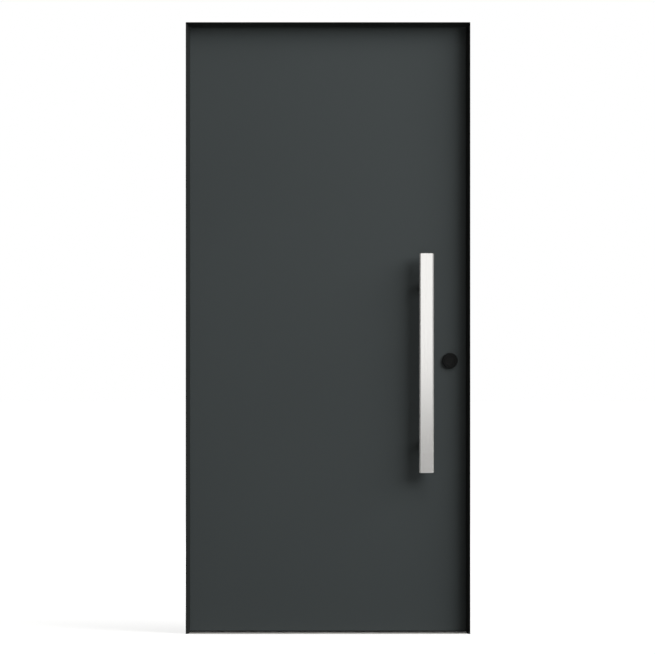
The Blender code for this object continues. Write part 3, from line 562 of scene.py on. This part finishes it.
softened("lockFaceplate", "lock_faceplate", "zincPlate", leafEdge["plate"])
for row in ("lower", "main", "upper"):
    softened(row + "BoltRow", row + "_bolts", "boltSteel", leafEdge["bolt"], steps=3, angle=40)
    softened(row + "Strike", "strike_" + row, "zincPlate", leafEdge["plate"])
softened("latchTongue", "latch_bolt", "boltSteel", leafEdge["latch"], steps=3)
softened("dogBoltStrip", "dog_bolt_strip", "zincPlate", leafEdge["plate"], angle=40)
print("lock edge made")


# Pull bar on the outside, with its two posts

pullLook = {"chamfer": 0.0045, "endChamfer": 0.0012, "soften": 0.0006, "footHeight": 0.003,
            "shaftShare": 11 / 15, "groove": 0.0008,
            "postRadii": [0, 0.0003, 0.0010, 0.0005, 0, 0, 0, 0, 0, 0]}


def makePullBar():
    low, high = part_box("pull_bar")
    c = pullLook["chamfer"]
    outline = [(low.x, high.y), (low.x, low.y + c), (low.x + c, low.y),
               (high.x - c, low.y), (high.x, low.y + c), (high.x, high.y)]
    bm = extrudedMesh(outline, (0, 0, low.z), (1, 0, 0), (0, 1, 0), (0, 0, high.z - low.z))
    ends = [edge for edge in bm.edges
            if abs(edge.verts[0].co.z - edge.verts[1].co.z) < tiny
            and all(vert.co.y < low.y + c + tiny for vert in edge.verts)]
    bmesh.ops.bevel(bm, geom=ends, offset=pullLook["endChamfer"], segments=1, affect="EDGES",
                    clamp_overlap=True)
    finishPiece("pullBar", bm, "barSteel", ["pull_bar"],
                bevel={"width": pullLook["soften"], "steps": 3, "angle": 12})


def makePost(name, node):
    # a foot on the leaf, a slimmer shaft, and a groove just under the bar
    low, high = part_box(node)
    centre = (low + high) / 2
    length = high.y - low.y
    foot = (high.x - low.x) / 2
    shaft = foot * pullLook["shaftShare"]
    rise, g = pullLook["footHeight"], pullLook["groove"]
    outline = [(0, 0), (foot, 0), (foot, rise), (shaft, rise), (shaft, length - 3 * g),
               (shaft - g, length - 2.6 * g), (shaft - g, length - 1.4 * g), (shaft, length - g),
               (shaft, length), (0, length)]
    bm = turnedMesh(roundedOutline(outline, pullLook["postRadii"]), (centre.x, high.y, centre.z),
                    (0, -1, 0))
    finishPiece(name, bm, "turnedSteel", [node])


makePullBar()
makePost("pullPostLower", "pull_post_lower")
makePost("pullPostUpper", "pull_post_upper")
print("pull bar made")


# Cylinder guard and its turning cover, outside

guardLook = {"step": 0.0022, "ledge": 0.0005, "gap": 0.0003, "dishRadius": 0.0145, "dishDepth": 0.0009,
             "dishEdge": 0.0012, "ringRadii": [0, 0.0003, 0.0024, 0.0004, 0.0002, 0.0003],
             "discRadii": [0, 0.0003, 0.0006, 0.0005, 0.0006, 0, 0]}


def makeGuard():
    look = guardLook
    low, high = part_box("cylinder_guard")
    coverLow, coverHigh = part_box("cylinder_cover")
    centre = (low + high) / 2
    base = (centre.x, high.y, centre.z)
    outer = (high.x - low.x) / 2
    cover = (coverHigh.x - coverLow.x) / 2
    inner = cover + look["gap"]
    height = high.y - low.y
    ledge = height - look["ledge"]
    outline = [(inner, 0), (outer, 0), (outer, height), (inner + look["step"], height),
               (inner + look["step"] * 0.6, ledge), (inner, ledge)]
    ring = turnedMesh(roundedOutline(outline, look["ringRadii"]), base, (0, -1, 0), segments=96)
    finishPiece("cylinderGuardRing", ring, "blackFitting", ["cylinder_guard"])
    rise = coverHigh.y - coverLow.y
    dish, depth = look["dishRadius"], look["dishDepth"]
    outline = [(0, 0), (cover, 0), (cover, rise), (dish + look["dishEdge"], rise), (dish, rise - depth),
               (dish * 0.5, rise - depth * 1.25), (0, rise - depth * 1.35)]
    disc = turnedMesh(roundedOutline(outline, look["discRadii"]), base, (0, -1, 0), segments=96)
    finishPiece("cylinderCoverDisc", disc, "blackFitting", ["cylinder_cover"])


makeGuard()
print("cylinder guard made")


# Inside fittings: roses, lever and thumb turn

roseLook = {"gap": 0.0003, "seam": 0.0004, "seamHeight": 0.0022, "collar": 0.0022, "collarTop": 0.0028,
            "ledge": 0.0006, "radii": [0, 0.0003, 0, 0, 0, 0, 0.0016, 0.0003, 0.0002, 0.0002]}
leverLook = {"neck": 0.0085, "bend": 0.014, "halfDepth": 0.0050, "halfHeight": 0.0095, "power": 3.1,
             "neckSteps": 14, "tipSteps": 9, "tipLength": 1.6, "tipSweep": 86, "tipRound": 0.9}
turnLook = {"stem": 0.0065, "stemLength": 0.0105, "flareLength": 0.0075, "flareSteps": 8, "shy": 0.0004,
            "halfWidth": 0.0045, "power": 3.4, "edge": 0.002, "edgeSteps": 6, "edgeSweep": 88}


def makeRose(name, node, hole):
    # a disc with a seam round its side and a collar round its hole
    look = roseLook
    low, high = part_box(node)
    centre = (low + high) / 2
    outer = (high.x - low.x) / 2
    height = high.y - low.y
    seam, rise, ledge = look["seam"], look["seamHeight"], height - look["ledge"]
    outline = [(hole, 0), (outer, 0), (outer, rise), (outer - seam, rise + seam * 0.4),
               (outer - seam, rise + seam * 1.2), (outer, rise + seam * 1.6), (outer, height),
               (hole + look["collarTop"], height), (hole + look["collar"], ledge), (hole, ledge)]
    bm = turnedMesh(roundedOutline(outline, look["radii"]), (centre.x, low.y, centre.z), (0, 1, 0),
                    segments=96)
    finishPiece(name, bm, "turnedSteel", [node])


def makeLever():
    # a round neck that bends sideways into a flatter grip with a rounded tip
    look = leverLook
    low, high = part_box("inner_lever")
    neck, bend, power = look["neck"], look["bend"], look["power"]
    halfDepth, halfHeight = look["halfDepth"], look["halfHeight"]
    neckX = high.x - neck
    z = (low.z + high.z) / 2
    gripY = high.y - halfDepth
    rings = []
    for share in (0.0, 0.35, 0.7, 1.0):
        y = low.y + (gripY - bend - low.y) * share
        rings.append(superRing((neckX, y, z), (neck, 0, 0), (0, 0, neck)))
    steps = look["neckSteps"]
    for index in range(1, steps + 1):
        share = index / steps
        angle = math.radians(90) * share
        out = Vector((math.cos(angle), math.sin(angle), 0))
        centre = Vector((neckX - bend, gripY - bend, z)) + out * bend
        depth = neck + (halfDepth - neck) * share
        height = neck + (halfHeight - neck) * share
        ring = superRing(centre, out * depth, (0, 0, height), roundPower + (power - roundPower) * share)
        rings.append([Vector((point.x, min(point.y, high.y), point.z)) for point in ring])
    gripEnd = low.x + halfDepth * look["tipLength"]
    for share in (0.25, 0.5, 0.75):
        x = neckX - bend + (gripEnd - neckX + bend) * share
        rings.append(superRing((x, gripY, z), (0, halfDepth, 0), (0, 0, halfHeight), power))
    tips = look["tipSteps"]
    for index in range(tips):
        angle = math.radians(look["tipSweep"]) * index / (tips - 1)
        x = gripEnd - (gripEnd - low.x) * math.sin(angle)
        inset = halfDepth * (1 - math.cos(angle)) * look["tipRound"]
        rings.append(superRing((x, gripY, z), (0, halfDepth - inset, 0),
                               (0, 0, halfHeight - inset), power))
    finishPiece("leverHandle", loftMesh(rings), "satinSteel", ["inner_lever"], angle=40)


def makeThumbTurn():
    # a round stem that flares into an upright grip; a station is reach, half width, half height, power
    look = turnLook
    low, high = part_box("thumb_turn")
    x = (low.x + high.x) / 2
    z = (low.z + high.z) / 2
    stem, neck, edge, power = look["stem"], look["stemLength"], look["edge"], look["power"]
    halfWidth, halfHeight = look["halfWidth"], (high.z - low.z) / 2
    length = high.y - low.y
    stations = [(0, stem, stem, roundPower), (neck, stem, stem, roundPower)]
    for index in range(1, look["flareSteps"] + 1):
        share = index / look["flareSteps"]
        ease = share * share * (3 - 2 * share)
        stations.append((neck + look["flareLength"] * share, stem + (halfWidth - stem) * ease,
                         stem + (halfHeight - look["shy"] - stem) * ease,
                         roundPower + (power - roundPower) * ease))
    stations.append((length - 2 * edge, halfWidth, halfHeight, power))
    for index in range(look["edgeSteps"] + 1):
        angle = math.radians(look["edgeSweep"]) * index / look["edgeSteps"]
        inset = edge * (1 - math.cos(angle))
        stations.append((length - edge + edge * math.sin(angle), halfWidth - inset,
                         halfHeight - inset, power))
    rings = [superRing((x, low.y + reach, z), (width, 0, 0), (0, 0, height), squareness, count=48)
             for reach, width, height, squareness in stations]
    finishPiece("thumbTurnGrip", loftMesh(rings), "satinSteel", ["thumb_turn"], angle=40)


makeRose("leverRoseDisc", "lever_rose", leverLook["neck"] + roseLook["gap"])
makeRose("cylinderRoseDisc", "cylinder_rose", turnLook["stem"] + roseLook["gap"])
makeLever()
makeThumbTurn()
print("inside fittings made")


# Hinges: turned barrels with plates let into them

hingeLook = {"barrel": 0.010, "half": 0.060, "pin": 0.005, "pinReach": 0.045, "ring": 0.0075,
             "ringHalf": 0.001, "play": 0.0003, "plate": 0.0035, "margin": 0.001, "leafPlate": 0.045,
             "lap": 0.0005, "corner": 0.007, "edge": 0.0004, "boreBelow": 0.01, "boreAbove": 0.002,
             "frameRadii": [0, 0.0016, 0.0003, 0, 0.0002, 0, 0.0010, 0],
             "leafRadii": [0, 0.0003, 0.0016, 0], "crankRadii": [0, 0, 0, 0.004, 0.003, 0, 0, 0]}


def combined(first, second, operation):
    # exact boolean of two bmeshes, handed back as a bmesh
    holders = []
    for bm in (first, second):
        mesh = bpy.data.meshes.new("combining")
        outwards(bm).to_mesh(mesh)
        bm.free()
        holders.append(addObject("combining", mesh))
    cut = holders[0].modifiers.new("combine", "BOOLEAN")
    cut.operation = operation
    cut.solver = "EXACT"
    cut.object = holders[1]
    bpy.context.view_layer.update()
    result = bpy.data.meshes.new_from_object(
        holders[0].evaluated_get(bpy.context.evaluated_depsgraph_get()))
    bm = bmesh.new()
    bm.from_mesh(result)
    for holder in holders:
        mesh = holder.data
        bpy.data.objects.remove(holder)
        bpy.data.meshes.remove(mesh)
    bpy.data.meshes.remove(result)
    return bm


def chamferSharp(bm, width, steps=2, angle=30):
    bm.normal_update()
    sharp = [edge for edge in bm.edges
             if len(edge.link_faces) == 2 and edge.calc_face_angle(0) > math.radians(angle)]
    bmesh.ops.bevel(bm, geom=sharp, offset=width, segments=steps, profile=0.5, affect="EDGES",
                    clamp_overlap=True)
    return bm


def makeHingeFrameHalf(centre, low):
    # a barrel with the thrust ring and pin on top, and a wing that lies on the jamb
    look = hingeLook
    r, half, pin, reach = look["barrel"], look["half"], look["pin"], look["pinReach"]
    ring, rise, margin, corner = look["ring"], look["ringHalf"], look["margin"], look["corner"]
    outline = [(0, -half), (r, -half), (r, -rise), (ring, -rise), (ring, rise), (pin, rise),
               (pin, reach), (0, reach)]
    barrel = turnedMesh(roundedOutline(outline, look["frameRadii"]), centre, (0, 0, 1), segments=64)
    depth = centre.y - low.y
    outline = [(0, margin - half), (0, -margin), (depth, -margin), (depth, margin - half)]
    wing = extrudedMesh(roundedOutline(outline, [0, 0, corner, corner], steps=6),
                        (low.x, centre.y, centre.z), (0, -1, 0), (0, 0, 1), (look["plate"], 0, 0))
    return combined(barrel, chamferSharp(wing, look["edge"]), "UNION")


def makeHingeLeafHalf(centre):
    # a barrel over the pin, and a cranked plate that lies on the inner skin
    look = hingeLook
    r, half, play, thick = look["barrel"], look["half"], look["play"], look["plate"]
    width, corner = look["leafPlate"], look["corner"]
    base, top = look["ringHalf"] + play, half - look["margin"]
    outline = [(0, base), (r, base), (r, half), (0, half)]
    barrel = turnedMesh(roundedOutline(outline, look["leafRadii"]), centre, (0, 0, 1), segments=64)
    seat = leafBackY + play - centre.y
    inside = r - look["lap"]
    plan = [(thick / 2, seat), (width, seat), (width, seat + thick), (r + thick, seat + thick),
            (inside, seat + 2 * thick), (inside, 0), (-thick, 0), (-thick, -r / 2)]
    plate = extrudedMesh(roundedOutline(plan, look["crankRadii"]), centre + Vector((0, 0, base)),
                         (1, 0, 0), (0, 1, 0), (0, 0, top - base))
    # the plate's outline seen from the inside, pushed right through the crank, rounds its corners
    shape = roundedOutline([(-2 * r, base), (width, base), (width, top), (-2 * r, top)],
                           [0, corner, corner, 0], steps=6)
    mask = extrudedMesh(shape, centre + Vector((0, -half, 0)), (1, 0, 0), (0, 0, 1), (0, 2 * half, 0))
    plate = combined(plate, mask, "INTERSECT")
    bmesh.ops.dissolve_limit(plate, angle_limit=flatAngle, verts=plate.verts, edges=plate.edges)
    both = combined(barrel, chamferSharp(plate, look["edge"]), "UNION")
    hole, low, high = look["pin"] + play, -look["boreBelow"], look["pinReach"] + look["boreAbove"]
    bore = turnedMesh([(0, low), (hole, low), (hole, high), (0, high)], centre, (0, 0, 1), segments=48)
    return combined(both, bore, "DIFFERENCE")


hingePlaces = []
for height in ("lower", "middle", "upper"):
    frameNode = "hinge_frame_half_" + height
    low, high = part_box(frameNode)
    r = hingeLook["barrel"]
    centre = Vector((high.x - r, high.y - r, high.z - hingeLook["pinReach"]))
    hingePlaces.append((centre, low))
    finishPiece(height + "HingeFrameHalf", makeHingeFrameHalf(centre, low), "hingeCoat", [frameNode],
                angle=25)
    finishPiece(height + "HingeLeafHalf", makeHingeLeafHalf(centre), "hingeCoat",
                ["hinge_leaf_half_" + height], angle=25)
print("hinges made")


# Lip of the drop seal

lipLook = {"clear": 0.001, "taper": 0.0018, "bladeHalf": 0.0022, "tipHalf": 0.0012, "inset": 0.0015,
           "under": 0.0004}


def makeDropLip():
    # let down to 1 mm over the threshold, as when the leaf is shut; the blade runs the full width
    look = lipLook
    low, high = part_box("drop_seal_lip")
    leafLow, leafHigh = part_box("outer_panel")
    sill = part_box("threshold")[1].z
    middle = (low.y + high.y) / 2
    half = (high.y - low.y) / 2
    blade, tip, inset = look["bladeHalf"], look["tipHalf"], look["inset"]
    taper, clear, under = sill + look["taper"], sill + look["clear"], leafLow.z - look["under"]
    edge = [(-blade, taper), (-tip, clear), (tip, clear), (blade, taper)]
    foot = [(-half, high.z), (-half, low.z), (-blade, low.z), *edge, (blade, low.z), (half, low.z),
            (half, high.z)]
    stem = extrudedMesh(foot, (low.x, middle, 0), (0, 1, 0), (0, 0, 1), (high.x - low.x, 0, 0))
    wide = extrudedMesh([(-blade, under), *edge, (blade, under)], (leafLow.x + inset, middle, 0),
                        (0, 1, 0), (0, 0, 1), (leafHigh.x - leafLow.x - 2 * inset, 0, 0))
    finishPiece("dropSealLip", combined(stem, wide, "UNION"), "sealRubber", ["drop_seal_lip"], angle=40)


makeDropLip()
print("drop seal let down")


# Screws: one Geometry Nodes tree sets every countersunk head, one mesh for each body

screwLook = {"Head Radius": 0.0040, "Head Depth": 0.0020, "Proud": 0.00035, "Socket Radius": 0.0017,
             "Socket Depth": 0.0016, "Seed": 7}
screwShape = {"tipShare": 0.45, "domeShare": 0.84, "lap": 0.985, "sides": 32, "socketSides": 6}


def makeScrewTree():
    tree = bpy.data.node_groups.new("screwHeads", "GeometryNodeTree")
    sockets = {}
    tree.interface.new_socket(name="Points", in_out="INPUT", socket_type="NodeSocketGeometry")
    kinds = {name: "Int" if isinstance(value, int) else "Float" for name, value in screwLook.items()}
    for name, kind in (*kinds.items(), ("Finish", "Material")):
        sockets[name] = tree.interface.new_socket(
            name=name, in_out="INPUT", socket_type="NodeSocket" + kind).identifier
    tree.interface.new_socket(name="Screws", in_out="OUTPUT", socket_type="NodeSocketGeometry")
    start = addNode(tree, "NodeGroupInput").outputs
    end = addNode(tree, "NodeGroupOutput")

    def frustum(bottom, top, depth, vertices):
        return piped(tree, "GeometryNodeMeshCone", "Mesh", {
            "Vertices": vertices, "Radius Bottom": bottom, "Radius Top": top, "Depth": depth})

    def lowered(geometry, depth):
        # move a mesh down the local Z axis
        down = piped(tree, "ShaderNodeCombineXYZ", 0, {"Z": mathNode(tree, "MULTIPLY", depth, -1.0)})
        return piped(tree, "GeometryNodeTransform", "Geometry",
                     {"Geometry": geometry, "Translation": down})

    radius, headDepth, proud = start["Head Radius"], start["Head Depth"], start["Proud"]
    socketRadius, socketDepth = start["Socket Radius"], start["Socket Depth"]
    tip = mathNode(tree, "MULTIPLY", radius, screwShape["tipShare"])
    crown = mathNode(tree, "MULTIPLY", radius, screwShape["domeShare"])
    sink = frustum(tip, radius, headDepth, screwShape["sides"])
    dome = frustum(radius, crown, proud, screwShape["sides"])
    # the sink's top laps into the dome by a hair, so that the union has no shared face
    sink = lowered(sink, mathNode(tree, "MULTIPLY", headDepth, screwShape["lap"]))
    head = addNode(tree, "GeometryNodeMeshBoolean", operation="UNION", solver="EXACT")
    tree.links.new(sink, head.inputs["Mesh 2"])
    tree.links.new(dome, head.inputs["Mesh 2"])
    hexagon = frustum(socketRadius, socketRadius, mathNode(tree, "MULTIPLY", socketDepth, 2.0),
                      screwShape["socketSides"])
    hexagon = lowered(hexagon, mathNode(tree, "SUBTRACT", socketDepth, proud))
    cut = piped(tree, "GeometryNodeMeshBoolean", "Mesh", {
        "Mesh 1": head.outputs["Mesh"], "Mesh 2": hexagon}, operation="DIFFERENCE", solver="EXACT")

    named = "GeometryNodeInputNamedAttribute"
    facing = piped(tree, named, "Attribute", {"Name": "facing"}, data_type="FLOAT_VECTOR")
    size = piped(tree, named, "Attribute", {"Name": "size"}, data_type="FLOAT")
    aim = piped(tree, "FunctionNodeAlignRotationToVector", "Rotation", {"Vector": facing}, axis="Z")
    # each socket is turned at random, by up to a sixth of a turn
    spin = piped(tree, "FunctionNodeRandomValue", 1, {2: 0.0, 3: math.pi / 3, "Seed": start["Seed"]},
                 data_type="FLOAT")
    spin = piped(tree, "ShaderNodeCombineXYZ", 0, {"Z": spin})
    spin = piped(tree, "FunctionNodeEulerToRotation", "Rotation", {"Euler": spin})
    turned = piped(tree, "FunctionNodeRotateRotation", "Rotation", {"Rotation": aim, "Rotate By": spin},
                   rotation_space="LOCAL")
    put = piped(tree, "GeometryNodeInstanceOnPoints", "Instances", {
        "Points": start["Points"], "Instance": cut, "Rotation": turned, "Scale": size})
    real = piped(tree, "GeometryNodeRealizeInstances", "Geometry", {"Geometry": put})
    paint = piped(tree, "GeometryNodeSetMaterial", "Geometry",
                  {"Geometry": real, "Material": start["Finish"]})
    tree.links.new(paint, end.inputs["Screws"])
    return tree, sockets


screwTree, screwSockets = makeScrewTree()


def setScrews(name, body, places):
    # places: (point on the plate, which way the head faces, size against the usual head)
    mesh = bpy.data.meshes.new(name + "Points")
    mesh.from_pydata([place for place, facing, size in places], [], [])
    mesh.attributes.new("facing", "FLOAT_VECTOR", "POINT")
    mesh.attributes.new("size", "FLOAT", "POINT")
    for index, (place, facing, size) in enumerate(places):
        mesh.attributes["facing"].data[index].vector = facing
        mesh.attributes["size"].data[index].value = size
    holder = addObject(name, mesh)
    setter = holder.modifiers.new("screwHeads", "NODES")
    setter.node_group = screwTree
    for key, value in screwLook.items():
        setter[screwSockets[key]] = value
    setter[screwSockets["Finish"]] = finishes["screwSteel"]
    bpy.context.view_layer.update()
    made = bpy.data.meshes.new_from_object(holder.evaluated_get(bpy.context.evaluated_depsgraph_get()))
    holder.modifiers.clear()
    holder.data = made
    bpy.data.meshes.remove(mesh)
    made.name = name
    made.shade_smooth()
    made.set_sharp_from_angle(angle=math.radians(25))
    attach(holder, body)


# heights up a plate, or down from its top where negative; on the hinges, along and up from the point
# on the axis between the halves; on the threshold, distances from the middle
screwPlaces = {
    "faceplate": (0.009, 0.094, 0.300, 0.527, 0.747, 1.010, -0.094, -0.009),
    "strike": (0.011, -0.011), "mainStrike": (0.011, 0.141, -0.011),
    "frameHalf": ((-0.020, -0.013), (-0.020, -0.047), (-0.042, -0.030)),
    "leafHalf": ((0.0235, 0.014), (0.0235, 0.048), (0.038, 0.014), (0.038, 0.048)),
    "threshold": (-0.38, -0.38 / 3, 0.38 / 3, 0.38),
}
screwSizes = {"faceplate": 0.8, "strike": 0.9, "frameHalf": 0.9, "leafHalf": 1.0, "threshold": 0.64}
thresholdSink = 0.0007


def plateRow(node, heights, facing, size):
    # screws down the middle of an upright plate
    low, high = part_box(node)
    x = high.x if facing[0] > 0 else low.x
    y = (low.y + high.y) / 2
    return [((x, y, low.z + h if h >= 0 else high.z + h), facing, size) for h in heights]


frameScrews = []
leafScrews = plateRow("lock_faceplate", screwPlaces["faceplate"], (1, 0, 0), screwSizes["faceplate"])
for row, places in (("lower", "strike"), ("upper", "strike"), ("main", "mainStrike")):
    frameScrews += plateRow("strike_" + row, screwPlaces[places], (-1, 0, 0), screwSizes["strike"])
plateY = leafBackY + hingeLook["play"] + hingeLook["plate"]
for centre, low in hingePlaces:
    plateX = low.x + hingeLook["plate"]
    for along, up in screwPlaces["frameHalf"]:
        place = (plateX, centre.y + along, centre.z + up)
        frameScrews.append((place, (1, 0, 0), screwSizes["frameHalf"]))
    for along, up in screwPlaces["leafHalf"]:
        place = (centre.x + along, plateY, centre.z + up)
        leafScrews.append((place, (0, 1, 0), screwSizes["leafHalf"]))
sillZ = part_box("threshold")[1].z - thresholdSink
lockY = sum(corner.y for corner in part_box("lock_faceplate")) / 2
for x in screwPlaces["threshold"]:
    frameScrews.append(((x, lockY, sillZ), (0, 0, 1), screwSizes["threshold"]))
setScrews("frameScrews", "frame", frameScrews)
setScrews("leafScrews", "leaf", leafScrews)
print("screws set:", len(frameScrews) + len(leafScrews))


# Floor, backdrop, lamps and camera

studio = {"fill": (0.044, 0.041, 0.022), "gloss": 0.38, "glossSlope": (0.50, 0.22, 0.20),
          "glossLeast": 0.06, "floorRadius": 60.0, "floorBounce": 0.18, "floorColour": 0.32,
          "floorLift": 0.73, "floorNear": 2.5, "floorFar": 9.0, "floorGloss": 0.62}
view = {"lens": 300.0, "sensor": 36.0, "frameHeight": 2.3015, "x": -0.0018, "z": 1.0772}
softboxes = {
    "keyRight": {"from": (58, 27), "distance": 12.0, "size": (10.2, 6.6), "level": 11.1,
                 "aim": (0, 0, 1.1), "mirrored": False},
    "topFront": {"from": (32, 57), "distance": 9.0, "size": (5.0, 3.6), "level": 4.7,
                 "aim": (0, 0, 1.0)},
    "barCard": {"from": (0, 0), "distance": 2.2, "size": (0.8, 1.4), "level": 1.27,
                "aim": (0.346, 0, 1.49), "lights": False},
    "backFill": {"from": (223, 20), "distance": 8.0, "size": (7.0, 5.0), "level": 6.0,
                 "aim": (0, 0, 1.1)},
}
white = (1.0, 1.0, 1.0)


def cameraRays(tree):
    # the kinds of ray, and those by which the camera sees, straight or through glass
    rays = addNode(tree, "ShaderNodeLightPath").outputs
    return rays, mathNode(tree, "MAXIMUM", rays["Is Camera Ray"], rays["Is Transmission Ray"])


def makeFloor():
    # the camera sees white with a faint shadow near the door; other light meets a dull grey
    bm = bmesh.new()
    bmesh.ops.create_circle(bm, cap_ends=True, radius=studio["floorRadius"], segments=96)
    mesh = bpy.data.meshes.new("studioFloor")
    bm.to_mesh(mesh)
    bm.free()
    floor = addObject("studioFloor", mesh)
    material, tree, shader, where = startMaterial("studioFloorWhite", roughness=0.9, specular=0.0)
    rays, seen = cameraRays(tree)
    glossy = mathNode(tree, "MULTIPLY", rays["Is Glossy Ray"], studio["floorGloss"])
    seen = mathNode(tree, "MAXIMUM", seen, glossy)
    colour = mixColours(tree, seen, (studio["floorBounce"],) * 3, (studio["floorColour"],) * 3)
    away = piped(tree, "ShaderNodeVectorMath", "Value", {0: where}, operation="LENGTH")
    lift = mapRange(tree, away, studio["floorNear"], studio["floorFar"], studio["floorLift"], 1.0)
    setNode(tree, shader, {"Base Color": colour, "Emission Color": (*white, 1.0),
                           "Emission Strength": mathNode(tree, "MULTIPLY", seen, lift)})
    mesh.materials.append(material)


def makeWorld():
    world = bpy.data.worlds.new("studioWorld")
    bpy.context.scene.world = world
    world.use_nodes = True
    tree = world.node_tree
    back = tree.nodes["Background"]
    rays, seen = cameraRays(tree)
    # metal mirrors a backdrop that grows lighter to the right, upwards and backwards
    way = addNode(tree, "ShaderNodeTexCoord").outputs["Generated"]
    way = piped(tree, "ShaderNodeVectorMath", "Value", {0: way, 1: studio["glossSlope"]},
                operation="DOT_PRODUCT")
    gloss = piped(tree, "ShaderNodeClamp", 0, {
        "Value": mathNode(tree, "ADD", way, studio["gloss"]), "Min": studio["glossLeast"]})
    glossy = mixColours(tree, rays["Is Glossy Ray"], studio["fill"], gloss)
    setNode(tree, back, {"Color": mixColours(tree, seen, glossy, white), "Strength": 1.0})


def addSoftbox(name, look):
    # azimuth 0 is in front of the door and 90 to its right; level is how bright the box's face is
    lamp = bpy.data.lights.new(name, "AREA")
    lamp.shape = "RECTANGLE"
    lamp.size, lamp.size_y = look["size"]
    lamp.energy = look["level"] * math.pi * lamp.size * lamp.size_y
    box = addObject(name, lamp)
    azimuth, elevation = (math.radians(angle) for angle in look["from"])
    away = Vector((math.sin(azimuth) * math.cos(elevation), -math.cos(azimuth) * math.cos(elevation),
                   math.sin(elevation)))
    box.location = Vector(look["aim"]) + away * look["distance"]
    box.rotation_euler = (-away).to_track_quat("-Z", "Y").to_euler()
    box.visible_camera = False
    box.visible_diffuse = look.get("lights", True)
    box.visible_glossy = look.get("mirrored", True)


def makeCamera():
    # far enough for the frame's outer face to fill the asked height of the picture
    camera = addObject("productCamera", bpy.data.cameras.new("productCamera"))
    camera.data.lens = view["lens"]
    camera.data.sensor_width = view["sensor"]
    camera.data.clip_end = 200.0
    away = view["frameHeight"] * view["lens"] / view["sensor"]
    camera.location = (view["x"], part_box("hinge_stop")[0].y - away, view["z"])
    camera.rotation_euler = (math.radians(90), 0, 0)
    bpy.context.scene.camera = camera


makeFloor()
makeWorld()
for name, look in softboxes.items():
    addSoftbox(name, look)
makeCamera()
bpy.context.scene.view_settings.view_transform = "Standard"
print("studio set")
